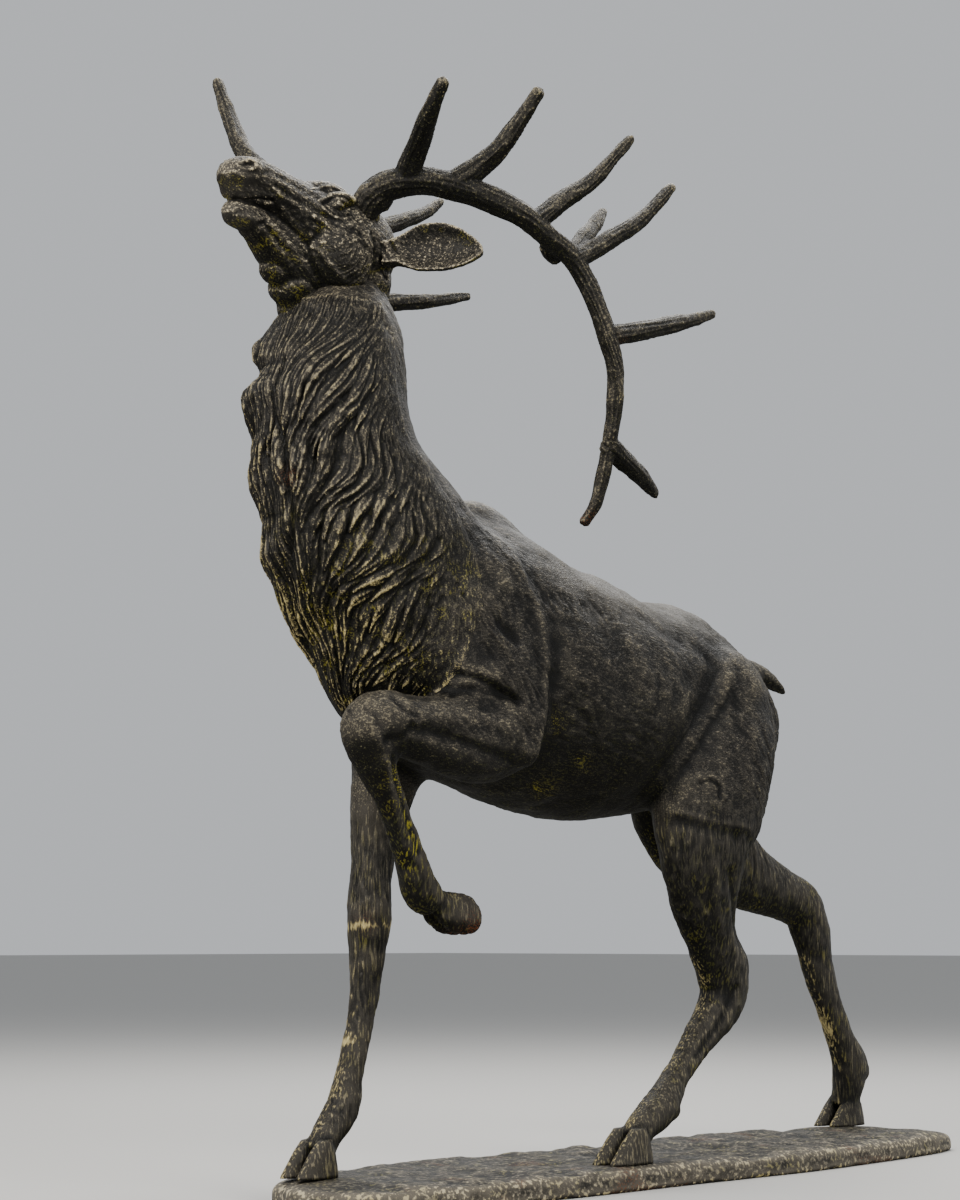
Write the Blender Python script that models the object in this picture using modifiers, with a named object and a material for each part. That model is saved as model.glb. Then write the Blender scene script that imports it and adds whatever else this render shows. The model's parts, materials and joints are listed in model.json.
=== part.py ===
"""A life-size striding stag in cast iron, one foreleg raised and its head thrown up, on a low base."""

import math

import bmesh
import bpy
import numpy as np
from mathutils import Matrix, Vector, noise

# The stag faces -X, its left side is -Y, and all sizes are metres. Stations are measured from a point on
# the ground under the elbows. The finished parts are moved so that the origin is the middle of the base's
# underside.
GAP = 0.0003  # between a sole and the base
FLESH_GRAIN = 0.010  # grain of the clay while the flesh is softened
FLESH_ROUNDS = 16
GRAIN = 0.0065  # grain of the clay once the crisper details are on
ROUNDS = 2
STAG_TRIANGLES = 9000
RING = 24  # corners of a body section
TINE_RING = 9

# Base: a low slab of ground-work under the three standing hooves.
BASE_THICK = 0.045
BASE_FRONT = -0.380
BASE_BACK = 1.560
BASE_HALF_WIDTH = 0.215
SQUARENESS = 3.6
BASE_LUMP = 0.010
PAD_RADIUS = 0.085

# Head: it is rolled a little, its right side higher.
HEAD_ROLL = math.radians(10)
HEAD_PIVOT = (-0.33, 0.0, 1.72)

# Trunk sections from breast to rump: x, height of the middle, half width, half height.
TRUNK = (
    (-0.300, 0.985, 0.050, 0.085),
    (-0.240, 0.990, 0.110, 0.150),
    (-0.120, 0.995, 0.158, 0.228),
    (0.000, 0.985, 0.180, 0.255),
    (0.100, 0.965, 0.192, 0.262),
    (0.200, 0.930, 0.200, 0.254),
    (0.350, 0.910, 0.202, 0.252),
    (0.500, 0.901, 0.182, 0.224),
    (0.600, 0.917, 0.160, 0.212),
    (0.670, 0.925, 0.138, 0.202),
    (0.750, 0.915, 0.122, 0.176),
    (0.840, 0.893, 0.110, 0.146),
    (0.925, 0.880, 0.088, 0.116),
    (0.980, 0.880, 0.055, 0.070),
)
# Neck sections from brisket to throat, cut level: height, x in front, x behind, half width.
NECK = (
    (0.770, -0.190, 0.000, 0.045),
    (0.820, -0.258, 0.000, 0.070),
    (0.880, -0.300, 0.020, 0.100),
    (0.940, -0.328, 0.050, 0.125),
    (1.030, -0.382, 0.080, 0.150),
    (1.150, -0.440, 0.080, 0.164),
    (1.270, -0.462, -0.045, 0.150),
    (1.330, -0.466, -0.128, 0.140),
    (1.400, -0.472, -0.160, 0.135),
    (1.470, -0.454, -0.166, 0.128),
    (1.550, -0.414, -0.174, 0.112),
    (1.600, -0.400, -0.188, 0.094),
    (1.700, -0.365, -0.215, 0.072),
)
# Skull and upper jaw from poll to nose: x, height, half width, half height.
SKULL = (
    (-0.200, 1.690, 0.055, 0.060),
    (-0.225, 1.695, 0.072, 0.085),
    (-0.275, 1.705, 0.086, 0.095),
    (-0.335, 1.714, 0.088, 0.095),
    (-0.390, 1.736, 0.070, 0.073),
    (-0.450, 1.760, 0.051, 0.053),
    (-0.505, 1.777, 0.043, 0.045),
    (-0.548, 1.782, 0.041, 0.044),
    (-0.574, 1.777, 0.034, 0.038),
    (-0.588, 1.772, 0.018, 0.020),
)
# Lower jaw from its angle to the lip.
JAW = (
    (-0.270, 1.645, 0.055, 0.050),
    (-0.360, 1.650, 0.058, 0.058),
    (-0.430, 1.674, 0.048, 0.052),
    (-0.490, 1.701, 0.037, 0.035),
    (-0.535, 1.712, 0.032, 0.021),
    (-0.565, 1.717, 0.027, 0.016),
    (-0.581, 1.718, 0.014, 0.009),
)
# Limbs: x, y, height, half thickness seen from the side, half width seen from the front.
LEFT_FORE = (
    (-0.060, -0.100, 1.060, 0.100, 0.070),
    (-0.030, -0.125, 0.960, 0.120, 0.070),
    (0.010, -0.140, 0.850, 0.105, 0.062),
    (-0.060, -0.148, 0.795, 0.088, 0.060),
    (-0.150, -0.152, 0.793, 0.080, 0.056),
    (-0.250, -0.155, 0.800, 0.062, 0.048),
    (-0.335, -0.155, 0.812, 0.054, 0.047),
    (-0.372, -0.154, 0.790, 0.048, 0.045),
    (-0.345, -0.150, 0.740, 0.042, 0.038),
    (-0.290, -0.140, 0.665, 0.029, 0.028),
    (-0.235, -0.126, 0.580, 0.027, 0.026),
    (-0.195, -0.115, 0.520, 0.036, 0.033),
    (-0.155, -0.108, 0.490, 0.031, 0.029),
)
RIGHT_FORE = (
    (-0.040, 0.100, 1.040, 0.100, 0.070),
    (-0.015, 0.120, 0.920, 0.110, 0.070),
    (-0.020, 0.128, 0.820, 0.098, 0.062),
    (-0.060, 0.117, 0.720, 0.076, 0.055),
    (-0.086, 0.108, 0.640, 0.056, 0.045),
    (-0.104, 0.104, 0.550, 0.041, 0.037),
    (-0.110, 0.102, 0.460, 0.044, 0.041),
    (-0.116, 0.101, 0.400, 0.035, 0.034),
    (-0.128, 0.098, 0.300, 0.027, 0.026),
    (-0.163, 0.093, 0.190, 0.026, 0.025),
    (-0.190, 0.090, 0.115, 0.034, 0.032),
    (-0.228, 0.088, 0.072, 0.029, 0.029),
    (-0.248, 0.087, 0.040, 0.030, 0.029),
)
LEFT_HIND = (
    (0.770, -0.085, 0.965, 0.075, 0.055),
    (0.730, -0.105, 0.870, 0.140, 0.082),
    (0.665, -0.115, 0.760, 0.160, 0.088),
    (0.615, -0.128, 0.670, 0.150, 0.078),
    (0.602, -0.135, 0.590, 0.120, 0.062),
    (0.614, -0.130, 0.500, 0.090, 0.050),
    (0.648, -0.120, 0.425, 0.066, 0.042),
    (0.696, -0.110, 0.350, 0.072, 0.041),
    (0.680, -0.108, 0.290, 0.054, 0.037),
    (0.595, -0.115, 0.218, 0.033, 0.030),
    (0.515, -0.125, 0.152, 0.029, 0.028),
    (0.450, -0.138, 0.098, 0.038, 0.034),
    (0.385, -0.146, 0.066, 0.031, 0.031),
    (0.360, -0.148, 0.040, 0.031, 0.030),
)
RIGHT_HIND = (
    (0.780, 0.080, 0.960, 0.075, 0.055),
    (0.790, 0.105, 0.860, 0.140, 0.080),
    (0.852, 0.125, 0.750, 0.158, 0.080),
    (0.940, 0.138, 0.660, 0.143, 0.070),
    (1.075, 0.140, 0.582, 0.090, 0.053),
    (1.210, 0.138, 0.536, 0.063, 0.042),
    (1.305, 0.136, 0.502, 0.058, 0.040),
    (1.338, 0.132, 0.440, 0.056, 0.038),
    (1.353, 0.126, 0.360, 0.042, 0.032),
    (1.384, 0.116, 0.265, 0.035, 0.029),
    (1.416, 0.108, 0.190, 0.037, 0.031),
    (1.446, 0.106, 0.135, 0.050, 0.036),
    (1.436, 0.112, 0.070, 0.037, 0.033),
    (1.428, 0.116, 0.040, 0.034, 0.032),
)
TAIL = (
    (0.800, 0.000, 1.000, 0.040, 0.055),
    (0.900, 0.000, 1.008, 0.034, 0.045),
    (0.970, 0.000, 1.004, 0.026, 0.034),
    (1.040, 0.000, 0.984, 0.017, 0.024),
    (1.083, 0.000, 0.966, 0.009, 0.012),
)

# Hooves: each standing one is given by the x of its toe, the x of its heel, and y.
HOOF_HEIGHT = 0.066
HOOF_PROFILE = (  # share of the rise, toe line, heel line
    (-0.15, -0.03, 1.0),
    (0.30, 0.12, 0.98),
    (0.70, 0.32, 0.92),
    (1.0, 0.52, 0.82),
)
TOE_OFFSET = 0.0215
TOE_HALF_WIDTH = 0.0195
STANDING_HOOVES = ((-0.318, -0.222, 0.086), (0.268, 0.388, -0.148), (1.352, 1.480, 0.118))
DEWCLAWS = (  # behind each fetlock: x, y, height, lean in degrees, half the gap between the two
    (-0.174, 0.090, 0.108, 25, 0.016),
    (0.478, -0.136, 0.086, 55, 0.016),
    (1.484, 0.107, 0.118, 25, 0.016),
    (-0.176, -0.112, 0.532, -50, 0.012),
)
DEWCLAW_SIZE = (0.011, 0.010, 0.022)
RAISED_TOE = (  # the lifted foot's toes, folded back: x, height, share of the full width and depth
    (-0.150, 0.492, 0.60),
    (-0.128, 0.482, 0.86),
    (-0.102, 0.474, 1.00),
    (-0.076, 0.468, 0.98),
    (-0.056, 0.464, 0.80),
    (-0.044, 0.462, 0.42),
)
RAISED_Y = -0.104
RAISED_OFFSET = 0.016
RAISED_HALF_WIDTH = 0.021
RAISED_HALF_DEPTH = 0.038

# Antlers: each branch is a list of x, y, height, with the radius at its root and at its tip.
LEFT_BEAM = (
    (-0.295, -0.045, 1.745),
    (-0.280, -0.090, 1.802),
    (-0.222, -0.150, 1.820),
    (-0.130, -0.205, 1.802),
    (-0.069, -0.250, 1.770),
    (-0.021, -0.270, 1.737),
    (0.044, -0.295, 1.684),
    (0.088, -0.320, 1.571),
    (0.116, -0.325, 1.471),
    (0.120, -0.305, 1.359),
    (0.120, -0.275, 1.254),
    (0.110, -0.250, 1.208),
)
LEFT_TINES = (
    ((-0.248, -0.120, 1.815), (-0.266, -0.174, 1.865), (-0.313, -0.254, 1.902), (-0.334, -0.309, 1.942)),
    ((-0.185, -0.175, 1.812), (-0.138, -0.208, 1.853), (-0.113, -0.248, 1.894), (-0.082, -0.310, 1.988)),
    ((-0.043, -0.262, 1.757), (0.024, -0.280, 1.813), (0.089, -0.300, 1.865), (0.164, -0.327, 1.955)),
    ((0.040, -0.293, 1.695), (0.137, -0.300, 1.757), (0.209, -0.310, 1.805), (0.294, -0.320, 1.889)),
    ((0.105, -0.322, 1.555), (0.240, -0.320, 1.596), (0.339, -0.315, 1.628), (0.431, -0.310, 1.662)),
    ((0.120, -0.300, 1.350), (0.203, -0.285, 1.324), (0.275, -0.262, 1.306), (0.326, -0.245, 1.291)),
    ((0.040, -0.285, 1.700), (0.058, -0.275, 1.722), (0.148, -0.240, 1.792), (0.210, -0.215, 1.844)),
)
RIGHT_BEAM = (
    (-0.295, 0.045, 1.760),
    (-0.262, 0.085, 1.800),
    (-0.185, 0.170, 1.815),
    (-0.085, 0.235, 1.800),
    (-0.012, 0.275, 1.760),
    (0.050, 0.300, 1.690),
    (0.090, 0.312, 1.590),
    (0.100, 0.305, 1.490),
    (0.095, 0.290, 1.400),
    (0.095, 0.265, 1.310),
    (0.085, 0.230, 1.235),
)
RIGHT_TINES = (
    (
        (-0.245, 0.100, 1.806),
        (-0.318, 0.130, 1.838),
        (-0.362, 0.184, 1.904),
        (-0.354, 0.243, 1.985),
        (-0.340, 0.308, 2.095),
    ),
    ((-0.185, 0.170, 1.815), (-0.120, 0.280, 1.835), (-0.060, 0.380, 1.875)),
    (
        (-0.077, 0.225, 1.810),
        (0.024, 0.235, 1.862),
        (0.107, 0.250, 1.899),
        (0.190, 0.260, 1.939),
        (0.244, 0.268, 1.977),
    ),
    ((0.020, 0.290, 1.700), (0.102, 0.275, 1.729), (0.216, 0.270, 1.755), (0.328, 0.270, 1.788)),
    ((0.095, 0.312, 1.560), (0.130, 0.400, 1.590), (0.170, 0.490, 1.640)),
    ((0.098, 0.292, 1.390), (0.120, 0.340, 1.360), (0.150, 0.390, 1.320)),
)
BEAM_RADIUS = (0.031, 0.021, 0.012)
TINE_RADIUS = (0.021, 0.0105)
TIP_DOME = ((0.75, 0.80), (1.25, 0.40))  # beyond the last station, in shares of the tip radius: reach, width
STOUT = 1.18  # the two lowest tines are thicker than the rest
KNOB = ((-0.005, -0.262, 1.722), (0.022, -0.248, 1.712), (0.042, -0.240, 1.708))

# Ears: root and tip.
LEFT_EAR = ((-0.262, -0.080, 1.686), (-0.146, -0.228, 1.688))
RIGHT_EAR = ((-0.262, 0.080, 1.712), (-0.140, 0.224, 1.742))
EAR_HALF_WIDTH = 0.050
EAR_HALF_THICK = 0.016

# Mane: staggered rows of locks down the neck, each lying down and forward.
MANE_ROWS = 8
MANE_TOP = 1.580
MANE_STEP = 0.081
MANE_LOCKS = 7  # on each side of the front
MANE_SPREAD = 115  # degrees from the front to the last lock
MANE_DRIFT = 30  # degrees that a lock swings forward over its length
LOCK_LENGTH = 0.150
LOCK_HALF_WIDTH = 0.024
LOCK_HALF_THICK = 0.012
LOCK_SUNK = 0.004  # how deep a root lies in the flesh
LOCK_TIP_LIFT = 0.012


def clear_scene():
    for obj in list(bpy.data.objects):
        bpy.data.objects.remove(obj, do_unlink=True)


def metal(name, colour, roughness, metallic):
    material = bpy.data.materials.new(name)
    material.use_nodes = True
    shader = material.node_tree.nodes["Principled BSDF"]
    shader.inputs["Base Color"].default_value = (*colour, 1.0)
    shader.inputs["Roughness"].default_value = roughness
    shader.inputs["Metallic"].default_value = metallic
    return material


def smooth_rows(rows, steps):
    """Rows of numbers with smooth in-between rows, by a Catmull-Rom curve through every column."""
    data = np.array(rows, float)
    padded = np.vstack([2 * data[0] - data[1], data, 2 * data[-1] - data[-2]])
    made = []
    for i in range(len(data) - 1):
        a, b, c, d = padded[i : i + 4]
        for step in range(steps):
            t = step / steps
            bend = (2 * a - 5 * b + 4 * c - d) * t**2 + (3 * b - a - 3 * c + d) * t**3
            made.append(0.5 * (2 * b + (c - a) * t + bend))
    made.append(data[-1])
    return np.array(made)


def add(bm, piece):
    """Moves a finished closed piece into the common mesh."""
    mesh = bpy.data.meshes.new("piece")
    piece.to_mesh(mesh)
    piece.free()
    bm.from_mesh(mesh)
    bpy.data.meshes.remove(mesh)


def skin(piece, loops):
    """Bridges each ring of edges to the next and closes both ends."""
    for first, second in zip(loops, loops[1:]):
        bmesh.ops.bridge_loops(piece, edges=first + second)
    for end in (loops[0], loops[-1]):
        bmesh.ops.contextual_create(piece, geom=end)


def loft(bm, centres, half_across, half_along, corners, across=Vector((0, 1, 0)), level=False):
    """A closed skin over elliptical rings, each square to the path through the centres, or all level."""
    piece = bmesh.new()
    loops = []
    for i, centre in enumerate(centres):
        ahead = Vector(centres[min(i + 1, len(centres) - 1)])
        behind = Vector(centres[max(i - 1, 0)])
        tangent = Vector((0, 0, 1)) if level else (ahead - behind).normalized()
        side = (across - across.dot(tangent) * tangent).normalized()
        front = tangent.cross(side)
        matrix = Matrix.Identity(4)
        matrix.col[0][:3] = side * half_across[i]
        matrix.col[1][:3] = front * half_along[i]
        matrix.col[2][:3] = tangent
        matrix.col[3][:3] = Vector(centre)
        ring = bmesh.ops.create_circle(piece, segments=corners, radius=1.0, matrix=matrix)["verts"]
        loops.append(list({e for v in ring for e in v.link_edges}))
    skin(piece, loops)
    add(bm, piece)


def body_loft(bm, rows):
    """Sections given as x, height, half width, half depth on the middle plane of the animal."""
    rows = smooth_rows(rows, 3)
    centres = [(x, 0.0, z) for x, z, _, _ in rows]
    loft(bm, centres, rows[:, 2], rows[:, 3], RING)


def neck_loft(bm, rows):
    """Level sections given as height, x in front, x behind, half width."""
    rows = smooth_rows(rows, 3)
    centres = [((front + back) / 2, 0.0, z) for z, front, back, _ in rows]
    loft(bm, centres, rows[:, 3], (rows[:, 2] - rows[:, 1]) / 2, RING, level=True)


def limb_loft(bm, rows):
    """Sections given as x, y, height, half thickness seen from the side, half width seen from the front."""
    rows = smooth_rows(rows, 3)
    loft(bm, [tuple(r[:3]) for r in rows], rows[:, 4], rows[:, 3], RING)


def blob(bm, centre, size, turn=0.0):
    """An egg of the given half sizes, leant in the side view by the turn in degrees."""
    matrix = Matrix.Translation(centre) @ Matrix.Rotation(math.radians(turn), 4, "Y")
    matrix = matrix @ Matrix.Diagonal((*size, 1.0))
    piece = bmesh.new()
    bmesh.ops.create_icosphere(piece, subdivisions=3, radius=1.0, matrix=matrix)
    add(bm, piece)


def branch(bm, points, root, tip, middle=None):
    """An antler branch: a round taper along a smooth path, ending in a blunt dome."""
    path = smooth_rows(points, 4)
    count = len(path)
    radii = []
    for i in range(count):
        t = i / (count - 1)
        if middle is None:
            radii.append(root + (tip - root) * t**1.8)
        elif t < 0.5:
            radii.append(root + (middle - root) * t / 0.5)
        else:
            radii.append(middle + (tip - middle) * (t - 0.5) / 0.5)
    end = Vector(path[-1])
    ahead = (end - Vector(path[-2])).normalized()
    for reach, share in TIP_DOME:
        path = np.vstack([path, end + ahead * tip * reach])
        radii.append(tip * share)
    centres = [tuple(p) for p in path]
    loft(bm, centres, radii, radii, TINE_RING)


def hoof(bm, toe_x, heel_x, y):
    """A cloven hoof standing on the ground: two toes side by side, each leant back from its tip."""
    length = heel_x - toe_x
    for side in (-1, 1):
        centres = []
        halves = []
        for up, front, back in HOOF_PROFILE:
            centres.append((toe_x + length * (front + back) / 2, y + side * TOE_OFFSET, up * HOOF_HEIGHT))
            halves.append(length * (back - front) / 2)
        widths = [TOE_HALF_WIDTH * (1.0 - 0.07 * i) for i in range(len(centres))]
        loft(bm, centres, widths, halves, RING, level=True)


def raised_hoof(bm):
    """The lifted foot, folded back: both toes point back and down."""
    for side in (-1, 1):
        centres = [(x, RAISED_Y + side * RAISED_OFFSET, z) for x, z, _ in RAISED_TOE]
        widths = [RAISED_HALF_WIDTH * share for _, _, share in RAISED_TOE]
        halves = [RAISED_HALF_DEPTH * share for _, _, share in RAISED_TOE]
        loft(bm, centres, widths, halves, RING)


def dewclaws(bm, x, y, z, lean, gap):
    """The two small claws behind a fetlock."""
    for side in (-1, 1):
        blob(bm, (x, y + side * gap, z), DEWCLAW_SIZE, lean)


def ear(bm, root, tip, up_tilt):
    """A leaf-shaped ear with a hollow front, from crescent sections along its length."""
    root, tip = Vector(root), Vector(tip)
    axis = (tip - root).normalized()
    wide = Vector((0.25, 0.0, 1.0))
    wide = (wide - wide.dot(axis) * axis).normalized()
    deep = axis.cross(wide)
    if deep.x > 0:
        deep = -deep
    piece = bmesh.new()
    loops = []
    shape = ((0.0, 0.45), (0.15, 0.55), (0.35, 0.95), (0.6, 1.0), (0.8, 0.75), (0.93, 0.42), (1.0, 0.12))
    for t, spread in shape:
        half = EAR_HALF_WIDTH * spread
        centre = root.lerp(tip, t) + wide * up_tilt * math.sin(math.pi * t)
        hollow = 0.55 * half
        thick = EAR_HALF_THICK * (1.0 if t < 0.2 else 0.75)
        matrix = Matrix.Identity(4)
        matrix.col[0][:3] = wide * half
        matrix.col[1][:3] = deep * thick
        matrix.col[2][:3] = axis
        ring = bmesh.ops.create_circle(piece, segments=16, radius=1.0)["verts"]
        for v in ring:
            x = math.copysign(abs(v.co.x) ** 0.8, v.co.x)
            y = math.copysign(abs(v.co.y) ** 0.5, v.co.y)
            v.co = Vector((x, y, 0))
            v.co = centre + matrix.to_3x3() @ v.co
            across = (v.co - centre).dot(wide) / half
            v.co -= deep * hollow * (1 - across * across)
        loops.append(list({e for v in ring for e in v.link_edges}))
    skin(piece, loops)
    add(bm, piece)


def head_parts(bm):
    """Skull, jaws, brows, eyes and nostrils, modelled level and then rolled."""
    head = bmesh.new()
    body_loft(head, SKULL)
    body_loft(head, JAW)
    blob(head, (-0.430, 0.0, 1.636), (0.043, 0.037, 0.038))  # throat
    blob(head, (-0.515, 0.0, 1.738), (0.052, 0.026, 0.022))  # inside of the mouth
    blob(head, (-0.350, 0.0, 1.800), (0.050, 0.045, 0.022))  # forehead
    for side in (-1, 1):
        blob(head, (-0.340, side * 0.058, 1.788), (0.040, 0.026, 0.018), -8)  # brow
        blob(head, (-0.368, side * 0.066, 1.766), (0.017, 0.015, 0.014))  # eye
        blob(head, (-0.325, side * 0.050, 1.680), (0.085, 0.038, 0.062), 20)  # cheek
        blob(head, (-0.285, side * 0.050, 1.772), (0.028, 0.028, 0.030))  # antler foot
        blob(head, (-0.553, side * 0.025, 1.802), (0.025, 0.019, 0.018))  # nostril wing
    matrix = Matrix.Rotation(HEAD_ROLL, 3, "X")
    bmesh.ops.rotate(head, verts=head.verts, cent=Vector(HEAD_PIVOT), matrix=matrix)
    add(bm, head)


def muscles(bm):
    """Swellings of the shoulder, breast, elbow, haunch and loins over the plain sections."""
    blob(bm, (-0.060, -0.110, 1.010), (0.140, 0.080, 0.190), 18)
    blob(bm, (-0.060, 0.110, 1.000), (0.140, 0.080, 0.190), 18)
    blob(bm, (-0.085, -0.135, 0.900), (0.085, 0.066, 0.064), 10)
    blob(bm, (0.080, 0.0, 1.185), (0.130, 0.060, 0.090), 15)
    blob(bm, (0.700, -0.100, 0.905), (0.150, 0.080, 0.132), -20)
    blob(bm, (0.730, 0.100, 0.905), (0.150, 0.080, 0.132), -20)
    blob(bm, (0.775, -0.085, 0.850), (0.110, 0.080, 0.130))
    blob(bm, (0.815, 0.085, 0.850), (0.110, 0.080, 0.130))


def mane_point(z, turn, lift):
    """A point on the neck at a height: turn is 0 at the front, -90 on the left side and 180 at the nape."""
    heights = [row[0] for row in NECK]
    front, back, half_width = (np.interp(z, heights, [row[k] for row in NECK]) for k in (1, 2, 3))
    angle = math.radians(turn)
    reach = (back - front) / 2 + lift
    return Vector(((front + back) / 2 - math.cos(angle) * reach, math.sin(angle) * (half_width + lift), z))


def mane(bm):
    """Locks of hair in staggered rows: each is a flat taper that swings forward and lifts off at its tip."""
    for row in range(MANE_ROWS):
        top = MANE_TOP - row * MANE_STEP
        for place in range(-MANE_LOCKS, MANE_LOCKS + 1):
            turn = (place + 0.5 * (row % 2)) * MANE_SPREAD / MANE_LOCKS
            side = math.copysign(1, turn) if abs(turn) > 8 else 0
            drift = -side * (MANE_DRIFT * min(1.0, abs(turn) / 60))
            swing = 6 * math.sin(3.1 * row + 1.7 * place)
            points = []
            for step in range(5):
                u = step / 4
                bend = swing * math.sin(2 * math.pi * u)
                lift = LOCK_TIP_LIFT * u * u - LOCK_SUNK
                points.append(mane_point(top - LOCK_LENGTH * u, turn + drift * u + bend, lift))
            halves = [LOCK_HALF_WIDTH * h for h in (0.5, 1.0, 0.95, 0.62, 0.15)]
            thicks = [LOCK_HALF_THICK * h for h in (0.6, 1.0, 1.0, 0.75, 0.3)]
            half_way = top - LOCK_LENGTH / 2
            middle = mane_point(half_way, 0, 0).lerp(mane_point(half_way, 180, 0), 0.5)
            outward = points[2] - middle
            tangent = points[-1] - points[0]
            across = outward.cross(tangent).normalized()
            loft(bm, [tuple(p) for p in points], halves, thicks, 8, across=across)


def antlers(bm):
    for beam in (LEFT_BEAM, RIGHT_BEAM):
        branch(bm, beam, BEAM_RADIUS[0], BEAM_RADIUS[2], BEAM_RADIUS[1])
    for tines in (LEFT_TINES, RIGHT_TINES):
        for place, points in enumerate(tines):
            stout = STOUT if place < 2 else 1.0
            branch(bm, points, TINE_RADIUS[0] * stout, TINE_RADIUS[1] * stout)
    branch(bm, KNOB, 0.018, 0.014)


def flesh(bm):
    """Trunk, neck and limbs with their muscles: the masses that melt into each other."""
    body_loft(bm, TRUNK)
    neck_loft(bm, NECK)
    for rows in (LEFT_FORE, RIGHT_FORE, LEFT_HIND, RIGHT_HIND, TAIL):
        limb_loft(bm, rows)
    muscles(bm)


def details(bm):
    """Everything with a crisper edge, set on the softened flesh."""
    for toe_x, heel_x, y in STANDING_HOOVES:
        hoof(bm, toe_x, heel_x, y)
    raised_hoof(bm)
    for claws in DEWCLAWS:
        dewclaws(bm, *claws)
    head_parts(bm)
    ear(bm, *LEFT_EAR, 0.012)
    ear(bm, *RIGHT_EAR, 0.012)
    mane(bm)
    antlers(bm)


def closed_skins(name, build, start=None):
    """A mesh of overlapping closed skins from one building function, over a mesh to start from."""
    bm = bmesh.new()
    if start:
        bm.from_mesh(start)
    build(bm)
    bmesh.ops.recalc_face_normals(bm, faces=bm.faces)
    mesh = bpy.data.meshes.new(name)
    bm.to_mesh(mesh)
    bm.free()
    return mesh


def fused(obj, grain, rounds, group=""):
    """Fuses overlapping skins into one and softens the result."""
    fuse = obj.modifiers.new("fuse", "REMESH")
    fuse.mode = "VOXEL"
    fuse.voxel_size = grain
    modified(obj)
    if group:
        weights = obj.vertex_groups.new(name=group)
        for v in obj.data.vertices:
            weights.add([v.index], min(1.0, max(0.1, (v.co.z - 0.58) / 0.15)), "REPLACE")
    soften = obj.modifiers.new("soften", "SMOOTH")
    soften.factor = 0.5
    soften.iterations = rounds
    soften.vertex_group = group
    modified(obj)


def modified(obj):
    """The object's mesh with its modifiers applied, as a plain mesh."""
    graph = bpy.context.evaluated_depsgraph_get()
    mesh = bpy.data.meshes.new_from_object(obj.evaluated_get(graph))
    obj.modifiers.clear()
    old = obj.data
    obj.data = mesh
    bpy.data.meshes.remove(old)
    return obj


def box(name, low, high):
    bm = bmesh.new()
    bmesh.ops.create_cube(bm, size=1.0)
    size = Vector(high) - Vector(low)
    bmesh.ops.scale(bm, vec=size, verts=bm.verts)
    bmesh.ops.translate(bm, vec=(Vector(low) + Vector(high)) / 2, verts=bm.verts)
    mesh = bpy.data.meshes.new(name)
    bm.to_mesh(mesh)
    bm.free()
    return bpy.data.objects.new(name, mesh)


def make_stag(parts, cutters):
    """The blocked-in masses fused, softened, thinned to facets and cut level under the soles."""
    stag = bpy.data.objects.new("stag", closed_skins("flesh", flesh))
    parts.objects.link(stag)
    fused(stag, FLESH_GRAIN, FLESH_ROUNDS, "soft")
    skins = stag.data
    stag.vertex_groups.clear()
    stag.data = closed_skins("stag", details, skins)
    bpy.data.meshes.remove(skins)
    fused(stag, GRAIN, ROUNDS)
    triangles = sum(len(p.vertices) - 2 for p in stag.data.polygons)
    thin = stag.modifiers.new("thin", "DECIMATE")
    thin.ratio = STAG_TRIANGLES / triangles
    thin.use_collapse_triangulate = True
    modified(stag)
    below = box("below_soles", (-1.0, -1.0, -0.2), (2.5, 1.0, GAP))
    cutters.objects.link(below)
    below.hide_render = True
    below.display_type = "WIRE"
    cut = stag.modifiers.new("cut_soles", "BOOLEAN")
    cut.operation = "DIFFERENCE"
    cut.solver = "EXACT"
    cut.object = below
    bpy.context.view_layer.update()
    modified(stag)
    return stag


def make_base(parts):
    """Ground-work slab: a rounded outline, a lumpy top that is level under each hoof, a flat underside."""
    middle = (BASE_FRONT + BASE_BACK) / 2
    half_length = (BASE_BACK - BASE_FRONT) / 2
    bm = bmesh.new()
    around = 56
    rings = [(1.0, -BASE_THICK), (1.0, -BASE_THICK * 0.45), (0.955, -0.006), (0.80, 0.0)]
    rings += [(0.5, 0.0), (0.2, 0.0)]
    loops = []
    for share, z in rings:
        ring = []
        for i in range(around):
            angle = 2 * math.pi * i / around
            c, s = math.cos(angle), math.sin(angle)
            squarish = (abs(c) ** SQUARENESS + abs(s) ** SQUARENESS) ** (-1 / SQUARENESS)
            rough = 1 + 0.05 * noise.noise(Vector((2.2 * c, 2.2 * s, 7.0)))
            reach = share * squarish * rough
            x = middle + half_length * c * reach * 0.97
            y = BASE_HALF_WIDTH * s * reach
            ring.append(bm.verts.new((x, y, z)))
        loops.append([bm.edges.new((ring[i - 1], ring[i])) for i in range(around)])
    skin(bm, loops)
    bmesh.ops.recalc_face_normals(bm, faces=bm.faces)
    for v in bm.verts:
        if v.co.z < -BASE_THICK * 0.6:
            continue
        lump = BASE_LUMP * noise.noise(v.co * 9.0)
        for toe_x, heel_x, y in STANDING_HOOVES:
            away = math.hypot(v.co.x - (toe_x + heel_x) / 2, v.co.y - y)
            lump *= min(1.0, max(0.0, away / PAD_RADIUS - 1.0))
        v.co.z += min(lump, 0.0)
    mesh = bpy.data.meshes.new("ground_base")
    bm.to_mesh(mesh)
    bm.free()
    base = bpy.data.objects.new("ground_base", mesh)
    parts.objects.link(base)
    return base


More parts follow.
